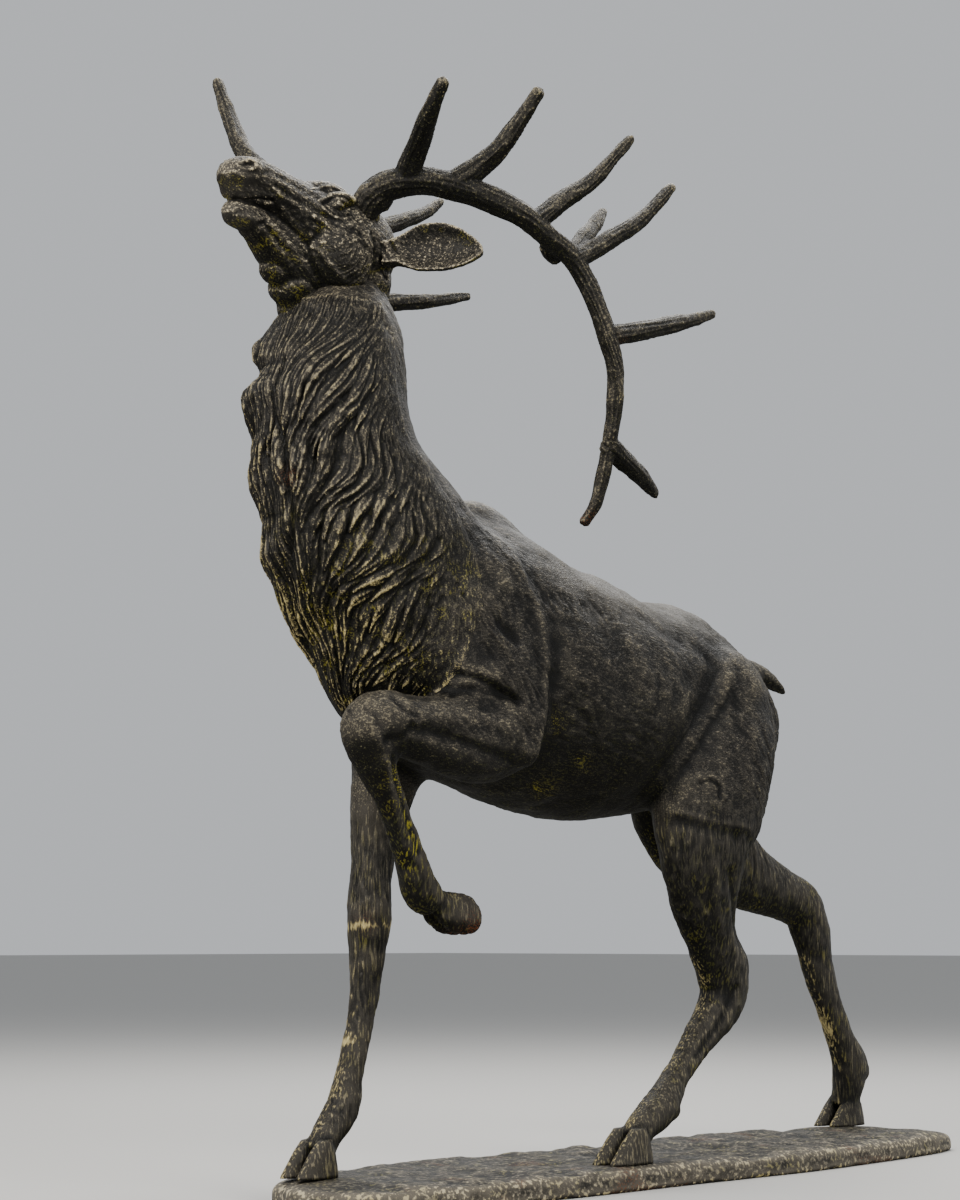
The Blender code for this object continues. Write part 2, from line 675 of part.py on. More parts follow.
def main():
    clear_scene()
    parts = bpy.data.collections.new("stag_statue")
    cutters = bpy.data.collections.new("cutters")
    bpy.context.scene.collection.children.link(parts)
    bpy.context.scene.collection.children.link(cutters)
    stag = make_stag(parts, cutters)
    base = make_base(parts)
    shift = Matrix.Translation((-(BASE_FRONT + BASE_BACK) / 2, 0.0, BASE_THICK))
    for obj in (stag, base):
        obj.data.transform(shift)
    stag.data.materials.clear()
    stag.data.materials.append(metal("stag_iron", (0.055, 0.047, 0.038), 0.55, 0.7))
    base.data.materials.append(metal("base_iron", (0.16, 0.145, 0.125), 0.75, 0.4))


main()
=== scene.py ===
# %% [markdown]
# # A cast iron stag
# The real object is a life-size garden statue: a striding stag with one foreleg lifted and its head
# thrown up, cast in iron and standing on a low slab of ground-work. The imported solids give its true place
# and size, so this script starts from them and then builds a finely carved skin over each solid, piece by
# piece.

# %% Load the frame
import json
import math

import bmesh
import bpy
import numpy as np
from mathutils import Matrix, Vector, noise
from mathutils.bvhtree import BVHTree

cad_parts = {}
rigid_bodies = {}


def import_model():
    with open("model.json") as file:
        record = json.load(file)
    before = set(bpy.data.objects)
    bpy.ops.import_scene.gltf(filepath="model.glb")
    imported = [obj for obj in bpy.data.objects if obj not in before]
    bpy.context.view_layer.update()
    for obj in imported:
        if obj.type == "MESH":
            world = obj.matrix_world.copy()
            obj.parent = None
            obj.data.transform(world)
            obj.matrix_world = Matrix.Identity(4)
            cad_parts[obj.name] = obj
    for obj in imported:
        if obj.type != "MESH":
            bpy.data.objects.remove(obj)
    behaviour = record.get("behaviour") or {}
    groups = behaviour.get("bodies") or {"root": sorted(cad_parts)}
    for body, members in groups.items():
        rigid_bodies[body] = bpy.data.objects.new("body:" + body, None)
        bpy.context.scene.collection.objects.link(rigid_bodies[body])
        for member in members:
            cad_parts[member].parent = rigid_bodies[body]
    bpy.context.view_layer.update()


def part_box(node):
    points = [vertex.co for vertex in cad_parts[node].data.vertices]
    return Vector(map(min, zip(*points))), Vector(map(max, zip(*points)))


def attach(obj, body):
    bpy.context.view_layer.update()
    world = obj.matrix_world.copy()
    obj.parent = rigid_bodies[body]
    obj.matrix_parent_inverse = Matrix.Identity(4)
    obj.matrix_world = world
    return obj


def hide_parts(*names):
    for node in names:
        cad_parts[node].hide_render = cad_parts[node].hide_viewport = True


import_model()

# %% [markdown]
# ## Where things are measured from
# A sculptor measures an animal from a fixed point on the ground, here the spot under the elbows. All the
# tables below use that point, and a finished piece is moved by one step into the frame of the solids.
# Working in one comfortable frame and moving once at the end is safer than adding an offset to every
# number. The long tables are written in millimetres, as on a workshop drawing, and `metres` turns them
# into the unit that Blender uses.

# %% Measuring point and grain of the clay
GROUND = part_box("ground_base")[1].z  # height of the soles above the underside of the base
FROM_ELBOWS = Vector((-0.590, 0.0, GROUND))
ROUGH = 1.0
FLESH_GRAIN = 0.006 * ROUGH
BODY_GRAIN = 0.0036 * ROUGH
HEAD_GRAIN = 0.0022 * ROUGH
ANTLER_GRAIN = 0.0023 * ROUGH
BASE_GRAIN = 0.0055 * ROUGH
BODY_TRIANGLES, MANE_TRIANGLES, HEAD_TRIANGLES, ANTLER_TRIANGLES = 198000, 198000, 170000, 150000
RING = 32  # corners of a section


def metres(table):
    """A table written in millimetres, with every number in it turned into metres."""
    if isinstance(table, (int, float)):
        return table / 1000
    return tuple(metres(part) for part in table)


print("soles stand", round(GROUND, 4), "m above the underside")

# %% [markdown]
# ## Tables of sections
# An armature maker lists the sections of the animal: how wide and how deep it is at each station. A
# smooth skin drawn over such sections is called a loft. Keeping the sections in small tables means that
# one number can be changed and the whole form follows.

# %% Sections of the trunk, neck and head
TRUNK = metres((  # x, height of the middle, half width, half height
    (-300, 985, 50, 85), (-240, 990, 110, 150), (-120, 995, 158, 228), (0, 985, 180, 255),
    (100, 965, 192, 262), (200, 930, 200, 254), (350, 910, 202, 252), (500, 901, 182, 224),
    (600, 917, 160, 212), (670, 925, 138, 202), (750, 915, 122, 176), (840, 893, 110, 146),
    (925, 880, 88, 116), (980, 880, 55, 70),
))
NECK = metres((  # height, x in front, x behind, half width
    (770, -190, 0, 45), (820, -258, 0, 70), (880, -300, 20, 100), (940, -328, 50, 125),
    (1030, -382, 80, 150), (1150, -440, 80, 164), (1270, -462, -45, 150), (1330, -466, -128, 140),
    (1400, -472, -160, 135), (1470, -454, -166, 128), (1550, -414, -174, 110), (1600, -394, -188, 84),
    (1640, -350, -198, 62), (1700, -330, -215, 50),
))
SKULL = metres((  # x, height, half width, half height
    (-200, 1690, 55, 60), (-225, 1695, 72, 85), (-275, 1705, 86, 95), (-335, 1714, 88, 95),
    (-390, 1736, 70, 73), (-450, 1760, 51, 53), (-505, 1777, 43, 45), (-544, 1778, 42, 43),
    (-569, 1767, 35, 39), (-584, 1758, 20, 25),
))
JAW = metres((
    (-270, 1640, 58, 52), (-360, 1648, 60, 60), (-430, 1674, 48, 52), (-490, 1703, 37, 34),
    (-530, 1714, 32, 25), (-552, 1717, 28, 23), (-568, 1719, 19, 16), (-576, 1720, 9, 8),
))
HEAD_ROLL = math.radians(10)
HEAD_PIVOT = Vector((-0.33, 0.0, 1.72))
print(len(TRUNK) + len(NECK) + len(SKULL) + len(JAW), "sections of the body")

# %% Sections of the limbs and tail
LEFT_FORE = metres((  # x, y, height, half thickness from the side, half width from the front
    (-60, -100, 1060, 100, 70), (-30, -125, 960, 120, 70), (10, -140, 850, 105, 62),
    (-60, -148, 795, 88, 60), (-150, -152, 793, 80, 56), (-250, -155, 800, 62, 48),
    (-335, -155, 812, 54, 47), (-372, -154, 790, 48, 45), (-345, -150, 740, 42, 38),
    (-290, -140, 665, 29, 28), (-235, -126, 580, 27, 26), (-195, -115, 520, 36, 33),
    (-155, -108, 490, 31, 29),
))
RIGHT_FORE = metres((
    (-40, 100, 1040, 100, 70), (-15, 120, 920, 110, 70), (-20, 128, 820, 98, 62), (-60, 117, 720, 76, 55),
    (-86, 108, 640, 56, 45), (-104, 104, 550, 41, 37), (-110, 102, 460, 44, 41), (-116, 101, 400, 35, 34),
    (-128, 98, 300, 27, 26), (-163, 93, 190, 26, 25), (-190, 90, 115, 34, 32), (-228, 88, 72, 29, 29),
    (-248, 87, 40, 30, 29),
))
LEFT_HIND = metres((
    (770, -85, 965, 75, 55), (730, -105, 870, 140, 82), (665, -115, 760, 160, 88),
    (615, -128, 670, 150, 78), (602, -135, 590, 120, 62), (614, -130, 500, 90, 50),
    (648, -120, 425, 66, 42), (696, -110, 350, 72, 41), (680, -108, 290, 54, 37), (595, -115, 218, 33, 30),
    (515, -125, 152, 29, 28), (450, -138, 98, 38, 34), (385, -146, 66, 31, 31), (360, -148, 40, 31, 30),
))
RIGHT_HIND = metres((
    (780, 80, 960, 75, 55), (790, 105, 860, 140, 80), (852, 125, 750, 158, 80), (940, 138, 660, 143, 70),
    (1075, 140, 582, 90, 53), (1210, 138, 536, 63, 42), (1305, 136, 502, 58, 40), (1338, 132, 440, 56, 38),
    (1353, 126, 360, 42, 32), (1384, 116, 265, 35, 29), (1416, 108, 190, 37, 31), (1446, 106, 135, 50, 36),
    (1436, 112, 70, 37, 33), (1428, 116, 40, 34, 32),
))
TAIL = metres((
    (800, 0, 1000, 40, 55), (900, 0, 1008, 34, 45), (970, 0, 1004, 26, 34), (1040, 0, 984, 17, 24),
    (1083, 0, 966, 9, 12),
))
HOOF_HEIGHT = 0.066
HOOF_PROFILE = (  # share of the rise, toe line, heel line, share of the width
    (-0.15, -0.03, 1.00, 1.00), (0.05, -0.01, 1.0, 1.02), (0.30, 0.12, 0.98, 0.93), (0.70, 0.32, 0.92, 0.80),
    (1.0, 0.52, 0.82, 0.66),
)
TOE_OFFSET = 0.0215
TOE_HALF_WIDTH = 0.0195
STANDING_HOOVES = metres(((-318, -222, 86), (268, 388, -148), (1352, 1480, 118)))
DEWCLAWS = (  # x, y and height in millimetres, lean in degrees, half gap between the two
    (-174, 90, 108, 25, 16), (478, -136, 86, 55, 16), (1484, 107, 118, 25, 16), (-176, -112, 532, -50, 12),
)
print("limb sections:", [len(t) for t in (LEFT_FORE, RIGHT_FORE, LEFT_HIND, RIGHT_HIND, TAIL)])

# %% [markdown]
# ## Building clay over an armature
# The helpers below draw a loft: a ring is made for each section with `create_circle`, the rings are
# joined with `bridge_loops`, and the two ends are closed. Every form is a closed skin of its own.
# Overlapping skins are later melted into one by a voxel remesh, which works like pressing lumps of clay
# together.

# %% Loft helpers
def smooth_rows(rows, steps):
    """Rows of numbers with smooth rows between them: a Catmull-Rom curve through every column."""
    data = np.array(rows, float)
    padded = np.vstack([2 * data[0] - data[1], data, 2 * data[-1] - data[-2]])
    finer = []
    for i in range(len(data) - 1):
        a, b, c, d = padded[i : i + 4]
        for t in np.arange(steps) / steps:
            bend = (2 * a - 5 * b + 4 * c - d) * t**2 + (3 * b - a - 3 * c + d) * t**3
            finer.append(0.5 * (2 * b + (c - a) * t + bend))
    finer.append(data[-1])
    return np.array(finer)


def add(bm, piece):
    """Moves a finished closed piece into the common clay."""
    mesh = bpy.data.meshes.new("piece")
    piece.to_mesh(mesh)
    piece.free()
    bm.from_mesh(mesh)
    bpy.data.meshes.remove(mesh)


def skin(piece, rings):
    """Joins each ring of vertices to the next and closes the two ends."""
    loops = [list({e for v in ring for e in v.link_edges}) for ring in rings]
    for first, second in zip(loops, loops[1:]):
        bmesh.ops.bridge_loops(piece, edges=first + second)
    for end in (loops[0], loops[-1]):
        bmesh.ops.contextual_create(piece, geom=end)


def loft(bm, centres, half_across, half_along, corners, across=Vector((0, 1, 0)), level=False):
    """A closed skin over elliptical rings, each square to the path through the centres, or all level."""
    piece = bmesh.new()
    rings = []
    for i, centre in enumerate(centres):
        ahead = Vector(centres[min(i + 1, len(centres) - 1)])
        behind = Vector(centres[max(i - 1, 0)])
        tangent = Vector((0, 0, 1)) if level else (ahead - behind).normalized()
        side = (across - across.dot(tangent) * tangent).normalized()
        matrix = Matrix.Identity(4)
        matrix.col[0][:3] = side * half_across[i]
        matrix.col[1][:3] = tangent.cross(side) * half_along[i]
        matrix.col[2][:3] = tangent
        matrix.col[3][:3] = Vector(centre)
        rings.append(bmesh.ops.create_circle(piece, segments=corners, radius=1.0, matrix=matrix)["verts"])
    skin(piece, rings)
    add(bm, piece)


SECTION_STEPS = 4  # sections drawn for each one in a table


def body_loft(bm, rows):
    """The trunk, skull or jaw, from rows of x, height, half width and half height."""
    rows = smooth_rows(rows, SECTION_STEPS)
    loft(bm, [(x, 0.0, z) for x, z, _, _ in rows], rows[:, 2], rows[:, 3], RING)


def neck_loft(bm, rows):
    """The neck, from level sections."""
    rows = smooth_rows(rows, SECTION_STEPS)
    centres = [((front + back) / 2, 0.0, z) for z, front, back, _ in rows]
    loft(bm, centres, rows[:, 3], (rows[:, 2] - rows[:, 1]) / 2, RING, level=True)


def limb_loft(bm, rows):
    """A leg or the tail, from sections square to its path."""
    rows = smooth_rows(rows, SECTION_STEPS)
    loft(bm, [tuple(r[:3]) for r in rows], rows[:, 4], rows[:, 3], RING)


def eggs(bm, rows, side=1):
    """An egg for each row: x, y, height and three half sizes in millimetres, then its lean in degrees."""
    for x, y, z, *half_sizes, lean in rows:
        matrix = Matrix.Translation(metres((x, side * y, z))) @ Matrix.Rotation(math.radians(lean), 4, "Y")
        matrix = matrix @ Matrix.Diagonal((*metres(half_sizes), 1.0))
        piece = bmesh.new()
        bmesh.ops.create_icosphere(piece, subdivisions=3, radius=1.0, matrix=matrix)
        add(bm, piece)


# %% [markdown]
# ## Reading and softening the clay
# Blender's own Smooth modifier would do, but keeping the vertices in a numpy array lets every tool that
# follows work on all of them at once. `relax` moves each vertex towards the middle of its neighbours.

# %% Clay helpers
def made(name, bm):
    """The finished form as an object in the scene."""
    mesh = bpy.data.meshes.new(name)
    bm.to_mesh(mesh)
    bm.free()
    obj = bpy.data.objects.new(name, mesh)
    bpy.context.scene.collection.objects.link(obj)
    return obj


def remeshed(name, bm, grain):
    """One closed skin around all the clay in bm, as an object."""
    bmesh.ops.recalc_face_normals(bm, faces=bm.faces)
    obj = made(name, bm)
    fuse = obj.modifiers.new("fuse", "REMESH")
    fuse.mode = "VOXEL"
    fuse.voxel_size = grain
    return applied(obj)


def applied(obj):
    """The object with its modifiers made part of its mesh."""
    graph = bpy.context.evaluated_depsgraph_get()
    mesh = bpy.data.meshes.new_from_object(obj.evaluated_get(graph))
    obj.modifiers.clear()
    old = obj.data
    obj.data = mesh
    bpy.data.meshes.remove(old)
    return obj


def points_of(obj):
    """The vertices as an array of x, y, z."""
    points = np.empty(len(obj.data.vertices) * 3, np.float32)
    obj.data.vertices.foreach_get("co", points)
    return points.reshape(-1, 3).astype(float)


def edges_of(obj):
    """The two vertex numbers of every edge."""
    edges = np.empty(len(obj.data.edges) * 2, np.int32)
    obj.data.edges.foreach_get("vertices", edges)
    return edges.reshape(-1, 2)


def shaped(obj, points):
    """Puts the vertices where they now are and returns the new normals."""
    obj.data.vertices.foreach_set("co", points.astype(np.float32).ravel())
    obj.data.update()
    normals = np.empty(len(points) * 3, np.float32)
    obj.data.vertex_normals.foreach_get("vector", normals)
    return normals.reshape(-1, 3).astype(float)


def neighbour_mean(values, edges):
    """For each vertex, the mean of the values of the vertices it shares an edge with."""
    count = np.bincount(edges.ravel(), minlength=len(values)).astype(float)
    a, b = edges.T
    sums = [
        np.bincount(a, values[:, k][b], len(values)) + np.bincount(b, values[:, k][a], len(values))
        for k in range(values.shape[1])
    ]
    return np.array(sums).T / np.maximum(count, 1)[:, None]


def relax(points, edges, rounds, share=0.5):
    """Moves every vertex part of the way to the middle of its neighbours, several times over."""
    share = np.broadcast_to(np.asarray(share, float), len(points))[:, None]
    for _ in range(rounds):
        points = points + share * (neighbour_mean(points, edges) - points)
    return points


def thinned(obj, triangles):
    """Collapses short edges until the piece has at most this many triangles, keeping carved places fine."""
    now = sum(len(p.vertices) - 2 for p in obj.data.polygons)
    if now > triangles:
        thin = obj.modifiers.new("thin", "DECIMATE")
        thin.ratio = triangles / now
        thin.use_collapse_triangulate = True
        applied(obj)
    return obj


# %% [markdown]
# ## Sculpting tools
# A modelling tool is pressed along a path and leaves a rounded ridge or groove. `stroke` does the same:
# vertices near the path move along their normals, most at the path and less to either side. `mottle` is a
# soft random pattern in space, and `streaks` stretches it in one direction, which reads as short cast
# fur.

# %% Tools that press and lift
def nearness(points, path, width, flat=None):
    """How near each point is to the path: 1 on it and near 0 from about two widths away."""
    axes = [0, 1, 2] if flat is None else flat
    spots = smooth_rows(path, 4) if len(path) > 2 else np.array(path, float)
    if len(spots) == 1:
        spots = np.vstack([spots, spots])
    p = points[:, axes]
    low, high = spots.min(0) - 3 * width, spots.max(0) + 3 * width
    near = np.flatnonzero(((p > low) & (p < high)).all(1))
    q = p[near]
    closest = np.full(len(near), np.inf)
    for a, b in zip(spots, spots[1:]):
        run = b - a
        share = np.clip((q - a) @ run / max(run @ run, 1e-12), 0, 1)
        closest = np.minimum(closest, ((q - a - share[:, None] * run) ** 2).sum(1))
    weight = np.zeros(len(points))
    weight[near] = np.exp(-closest / (width * width))
    return weight


def on_surface(points, path):
    """The path with each of its steps moved to the nearest point of the clay."""
    steps = smooth_rows(path, 3) if len(path) > 2 else np.array(path, float)
    return np.array([points[((points - step) ** 2).sum(1).argmin()] for step in steps])


def stroke(clay, path, width, rise, side=0):
    """Lifts or presses the clay along a path. With a side, the path is x and height on that flank."""
    if side:
        weight = nearness(clay["points"], path, width, flat=[0, 2])
        on_side = side * clay["points"][:, 1] > 0.02
        weight = weight * on_side * np.clip(1.6 * side * clay["normals"][:, 1], 0, 1)
    else:
        weight = nearness(clay["points"], on_surface(clay["points"], path), width)
    clay["lift"] += rise * weight


def struck(clay):
    """Carries out the strokes gathered so far."""
    clay["points"] = clay["points"] + clay["lift"][:, None] * clay["normals"]
    clay["normals"] = shaped(clay["obj"], clay["points"])
    clay["lift"] = np.zeros(len(clay["points"]))


def clay_of(obj, points):
    """What the tools work on: the object, its vertices, their normals and how far each is to be lifted."""
    return {"obj": obj, "points": points, "normals": shaped(obj, points), "lift": np.zeros(len(points))}


def hashed(i, j, k, seed):
    """A fixed random number from -1 to 1 for each cell of space, stirred from the cell's three numbers."""
    h = (i * 374761393 + j * 668265263 + k * 362437 + seed * 97463477) & 0xFFFFFFFF
    h = ((h ^ (h >> 13)) * 1274126177) & 0xFFFFFFFF
    return ((h ^ (h >> 16)) & 0xFFFF) / 32767.5 - 1


def mottle(points, size, seed):
    """A smooth random value from -1 to 1 at each point, with lumps of about the given size."""
    p = np.asarray(points, float) / size
    cell = np.floor(p).astype(np.int64)
    f = p - cell
    f = f * f * (3 - 2 * f)
    value = np.zeros(len(p))
    for corner in range(8):
        step = np.array([corner & 1, corner >> 1 & 1, corner >> 2 & 1])
        weight = np.prod(np.where(step, f, 1 - f), axis=1)
        value += weight * hashed(*(cell + step).T, seed)
    return value


def ridged(cells, seed, power=0.7):
    """The same pattern as sharp crests with soft hollows, from -1 to 1, at places counted in cells."""
    return 1 - 2 * np.abs(mottle(cells, 1.0, seed)) ** power


def streaks(points, along, width, length, seed):
    """Crests and hollows drawn out along a direction."""
    along = np.array(along, float) / np.linalg.norm(along)
    run = points @ along
    return ridged((points - np.outer(run, along)) / width + np.outer(run, along) / length, seed)


def fade(values, start, end):
    """0 at start, 1 at end, smooth between."""
    t = np.clip((values - start) / (end - start), 0, 1)
    return t * t * (3 - 2 * t)


# %% [markdown]
# ## The flesh
# Trunk, neck and limbs go on first as plain masses with the big muscles over them. They are melted
# together and relaxed much more in the trunk than in the thin lower legs, which would otherwise waste
# away.

# %% Masses of the body
MUSCLES = (  # rows for eggs: shoulders, elbow, withers, haunches
    (-60, -110, 1010, 140, 80, 190, 18), (-60, 110, 1000, 140, 80, 190, 18), (-85, -135, 900, 85, 66, 64, 10),
    (80, 0, 1185, 130, 60, 90, 15), (700, -100, 905, 150, 80, 132, -20), (730, 100, 905, 150, 80, 132, -20),
    (775, -85, 850, 110, 80, 130, 0), (815, 85, 850, 110, 80, 130, 0),
)
THIN_LEG, LEG_BLEND = 0.58, 0.15  # height below which the legs are relaxed least, and how fast that changes
flesh = bmesh.new()
body_loft(flesh, TRUNK)
neck_loft(flesh, NECK)
for rows in (LEFT_FORE, RIGHT_FORE, LEFT_HIND, RIGHT_HIND, TAIL):
    limb_loft(flesh, rows)
eggs(flesh, MUSCLES)
soft = remeshed("soft_flesh", flesh, FLESH_GRAIN)
soft_points = points_of(soft)
softness = 0.5 * np.clip((soft_points[:, 2] - THIN_LEG) / LEG_BLEND, 0.1, 1.0)
soft_points = relax(soft_points, edges_of(soft), int(16 * (0.010 / FLESH_GRAIN) ** 2), softness)
shaped(soft, soft_points)
print("soft flesh:", len(soft_points), "vertices")

# %% [markdown]
# ## Hooves and dewclaws
# A deer's hoof is two toes side by side with a slot between them, flat under the sole and sloping back
# above. Each toe is a short stack of level rings. They join the softened flesh before the finer remesh,
# so that they keep crisper edges than the muscles have.

# %% Feet
RAISED_TOE = metres(((-150, 492), (-128, 482), (-102, 474), (-76, 468), (-56, 464), (-44, 462)))
TOE_ROUND = (0.60, 0.86, 1.00, 0.98, 0.78, 0.38)
RAISED_Y, RAISED_OFFSET, RAISED_HALF_WIDTH, RAISED_HALF_DEPTH = -0.104, 0.016, 0.020, 0.037


def hoof(bm, toe_x, heel_x, y):
    """A standing foot, from level rings."""
    length = heel_x - toe_x
    for side in (-1, 1):
        centres = []
        for up, front, back, _ in HOOF_PROFILE:
            centres.append((toe_x + length * (front + back) / 2, y + side * TOE_OFFSET, up * HOOF_HEIGHT))
        halves = [length * (back - front) / 2 for _, front, back, _ in HOOF_PROFILE]
        widths = [TOE_HALF_WIDTH * share for *_, share in HOOF_PROFILE]
        loft(bm, centres, widths, halves, RING, level=True)


def raised_hoof(bm):
    """The lifted foot, folded back: both toes point back and down."""
    for side in (-1, 1):
        centres = [(x, RAISED_Y + side * RAISED_OFFSET, z) for x, z in RAISED_TOE]
        widths = [share * RAISED_HALF_WIDTH for share in TOE_ROUND]
        loft(bm, centres, widths, [share * RAISED_HALF_DEPTH for share in TOE_ROUND], RING)


feet = bmesh.new()
feet.from_mesh(soft.data)
for toe_x, heel_x, y in STANDING_HOOVES:
    hoof(feet, toe_x, heel_x, y)
raised_hoof(feet)
for x, y, z, lean, gap in DEWCLAWS:
    eggs(feet, [(x, y + side * gap, z, 10, 9, 22, lean) for side in (-1, 1)])
bpy.data.objects.remove(soft)
body = remeshed("stag_body", feet, BODY_GRAIN)
body_edges = edges_of(body)
body_points = points_of(body)
firm = np.where(body_points[:, 2] < HOOF_HEIGHT, 0.25, 0.5)
body_points = relax(body_points, body_edges, 3, firm)
SOLE_GAP = 0.0003  # the soles stand this far above the base
body_points[:, 2] = np.maximum(body_points[:, 2], SOLE_GAP)
body_clay = clay_of(body, body_points)
print("body:", len(body_points), "vertices")

# %% [markdown]
# ## Muscles, folds and tendons
# The marks that show from a few steps away are pressed in by strokes: the back edge of the shoulder
# blade, the ribs, the fold of the flank, the hollow in front of the hip and the grooves between bone and
# tendon.

# %% Carving on the flanks and legs
SHOULDER_EDGE = ((16, 1131), (49, 1058), (63, 984), (63, 908), (48, 813), (26, 756))
FLANK_FOLD = ((655, 965), (629, 928), (600, 890), (560, 850), (510, 795), (470, 740), (455, 702))
HIP_LINE = ((380, 1062), (448, 1042), (498, 1034), (560, 1022), (620, 1000))
RIB_RIDGE = ((235, 1135), (277, 1095), (290, 1050), (307, 1010), (330, 965), (354, 905))
THIGH_LINE = ((455, 692), (480, 680), (527, 667), (601, 656), (680, 648))
FLANK_STROKES = metres((  # path of x and height, width, rise
    (SHOULDER_EDGE, 14, 4.4),
    ([(x + 32, z) for x, z in SHOULDER_EDGE], 18, -3),
    (((-99, 1235), (-18, 1160), (23, 1078)), 20, 4),
    (((-150, 1120), (-60, 1060), (-10, 960)), 30, -4),
    (((-60, 1002), (-36, 988), (-14, 976)), 12, -6),
    (((-85, 985), (-40, 965), (0, 955)), 18, 3),
    (RIB_RIDGE, 30, 3),
    ([(x - 65, z + 5) for x, z in RIB_RIDGE], 26, -1.2),
    (((85, 1064), (160, 1066), (255, 1058)), 16, -2.6),
    (((110, 1100), (200, 1105), (300, 1098)), 22, 1.8),
    (((120, 760), (220, 740), (330, 730)), 30, 2),
    (FLANK_FOLD, 14, 3.2),
    ([(x - 36, z + 14) for x, z in FLANK_FOLD], 24, -4.8),
    ([(x - 22, z + 10) for x, z in FLANK_FOLD], 5, -1.8),
    ([(x + 26, z + 4) for x, z in FLANK_FOLD[1:]], 7, -1.4),
    (((545, 880), (520, 940)), 40, -5),
    (HIP_LINE, 15, -2.6),
    (((397, 1086), (511, 1082), (579, 1071), (640, 1049)), 26, 2),
    (((690, 985), (664, 914), (655, 850)), 14, -2.6),
    (((735, 960), (712, 890), (700, 820)), 24, 2),
    (((860, 900), (830, 800), (760, 700)), 22, -3),
    (((534, 736), (556, 742), (575, 731), (577, 708)), 4.5, -2.6),
    (((530, 746), (560, 752), (586, 736), (588, 708)), 6, 1.2),
    (THIGH_LINE, 10, 2),
    ([(x + 4, z - 20) for x, z in THIGH_LINE], 14, -2.6),
    (((620, 560), (660, 480), (705, 420)), 12, -6),
    (((560, 600), (590, 500), (640, 400)), 12, 3),
    (((690, 330), (640, 262), (560, 196)), 8, -4),
))
LEFT_ARM_STROKES = metres((
    (((-316, 864), (-223, 862), (-120, 877), (-26, 865)), 11, -6),
    (((-150, 903), (-111, 893), (-70, 882), (-20, 862)), 8, -6),
    (((28, 767), (10, 760)), 26, 8),
    (((-120, 705), (14, 728), (70, 768)), 13, -6),
    (((-290, 792), (-202, 782), (-103, 762), (-40, 750)), 12, -5.5),
    (((-300, 820), (-180, 822), (-60, 815)), 18, 4),
    (((-240, 745), (-150, 735), (-60, 722)), 14, 3),
    (((-331, 846), (-312, 824), (-285, 815)), 9, -5),
    (((-395, 800), (-372, 760)), 14, 3),
    (((-352, 770), (-312, 778), (-300, 800)), 8, -4),
    (((-325, 740), (-278, 655), (-232, 580)), 7.5, -5.5),
    (((-300, 745), (-255, 655), (-210, 575)), 6.5, 3),
    (((-348, 735), (-305, 655), (-255, 575)), 6.5, 3),
))
RIGHT_LEG_STROKES = metres((
    (((-105, 640), (-115, 560), (-118, 500)), 12, -4),
    (((-120, 395), (-135, 300), (-165, 190)), 7, -4),
    (((1060, 600), (1200, 552), (1300, 530)), 12, -5),
    (((1362, 420), (1372, 330), (1400, 240)), 7, -4),
))
strokes = [(-1, *row) for row in FLANK_STROKES] + [(1, *row) for row in FLANK_STROKES]
strokes += [(-1, *row) for row in LEFT_ARM_STROKES] + [(1, *row) for row in RIGHT_LEG_STROKES]
for side, path, width, rise in strokes:
    stroke(body_clay, path, width, rise, side)
struck(body_clay)
print("strokes on the body:", len(strokes))

# %% [markdown]
# ## Short fur on the body
# Cast fur is a field of short shallow cuts that follow the lie of the coat: backwards along the trunk,
# down the shoulder and haunch, and down the legs. Three stretched patterns are mixed by where on the body
# a point is. The back and the rump were rubbed smoother when the mould was finished.

# %% Fur cuts
def leg_of(z):
    """1 on the lower legs, 0 on the body."""
    return 1 - fade(z, 0.62, 0.74)


def shoulder_of(x, z):
    """1 on the shoulder, 0 behind it and on the leg."""
    return (1 - fade(x, 0.04, 0.16)) * fade(z, 0.70, 0.80)


def body_fur(points):
    """The pattern of the coat at each point, and how thick the coat is there."""
    x, y, z = points.T
    back = streaks(points, (1.0, 0.0, -0.25), 0.0085, 0.050, 3)
    slant = streaks(points, (0.65, 0.0, -0.75), 0.0090, 0.040, 5)
    down = streaks(points, (0.12, 0.0, -1.0), 0.0095, 0.060, 7)
    leg = leg_of(z)
    thick = np.maximum(shoulder_of(x, z), fade(x, 0.55, 0.70) * (1 - leg))
    return (back * (1 - thick) + slant * thick) * (1 - leg) + down * leg, thick


x, y, z = body_clay["points"].T
fur, thick_coat = body_fur(body_clay["points"])
smooth_back = fade(z, 1.05, 1.16) * fade(x, 0.10, 0.25)
over_hoof = fade(z, 0.06, 0.12)
fur_depth = (0.0010 + 0.0006 * thick_coat) * (1 - 0.75 * smooth_back) * over_hoof
fur_depth += 0.0010 * leg_of(z) * over_hoof
fur_depth *= 0.6 + 0.5 * mottle(body_clay["points"], 0.09, 11)
body_clay["lift"] += fur_depth * fur
BELOW_SPINE = metres(((85, 1060), (160, 1062), (255, 1052)))
below_spine = nearness(body_clay["points"], BELOW_SPINE, 0.022, flat=[0, 2])
cuts = streaks(body_clay["points"], (0.25, 0.0, -1.0), 0.0085, 0.050, 9)
body_clay["lift"] += 0.0022 * below_spine * cuts
for depth, size, seed in ((0.0020, 0.035, 13), (0.0009, 0.014, 15)):
    body_clay["lift"] += depth * mottle(body_clay["points"], size, seed) * over_hoof
struck(body_clay)
print("fur depth up to", round(float(fur_depth.max()) * 1000, 2), "mm")

# %% [markdown]
# ## The mane as a relief map
# The mane is the richest carving: long wavy locks that start behind the ears and under the jaw, sweep
# down and forward, and hang over each other like thatch. It would be slow to model every lock as its own
# solid. Instead the neck is unrolled like a map, the locks are painted on that map as heights, row by
# row, and the map is then wrapped round the neck again.

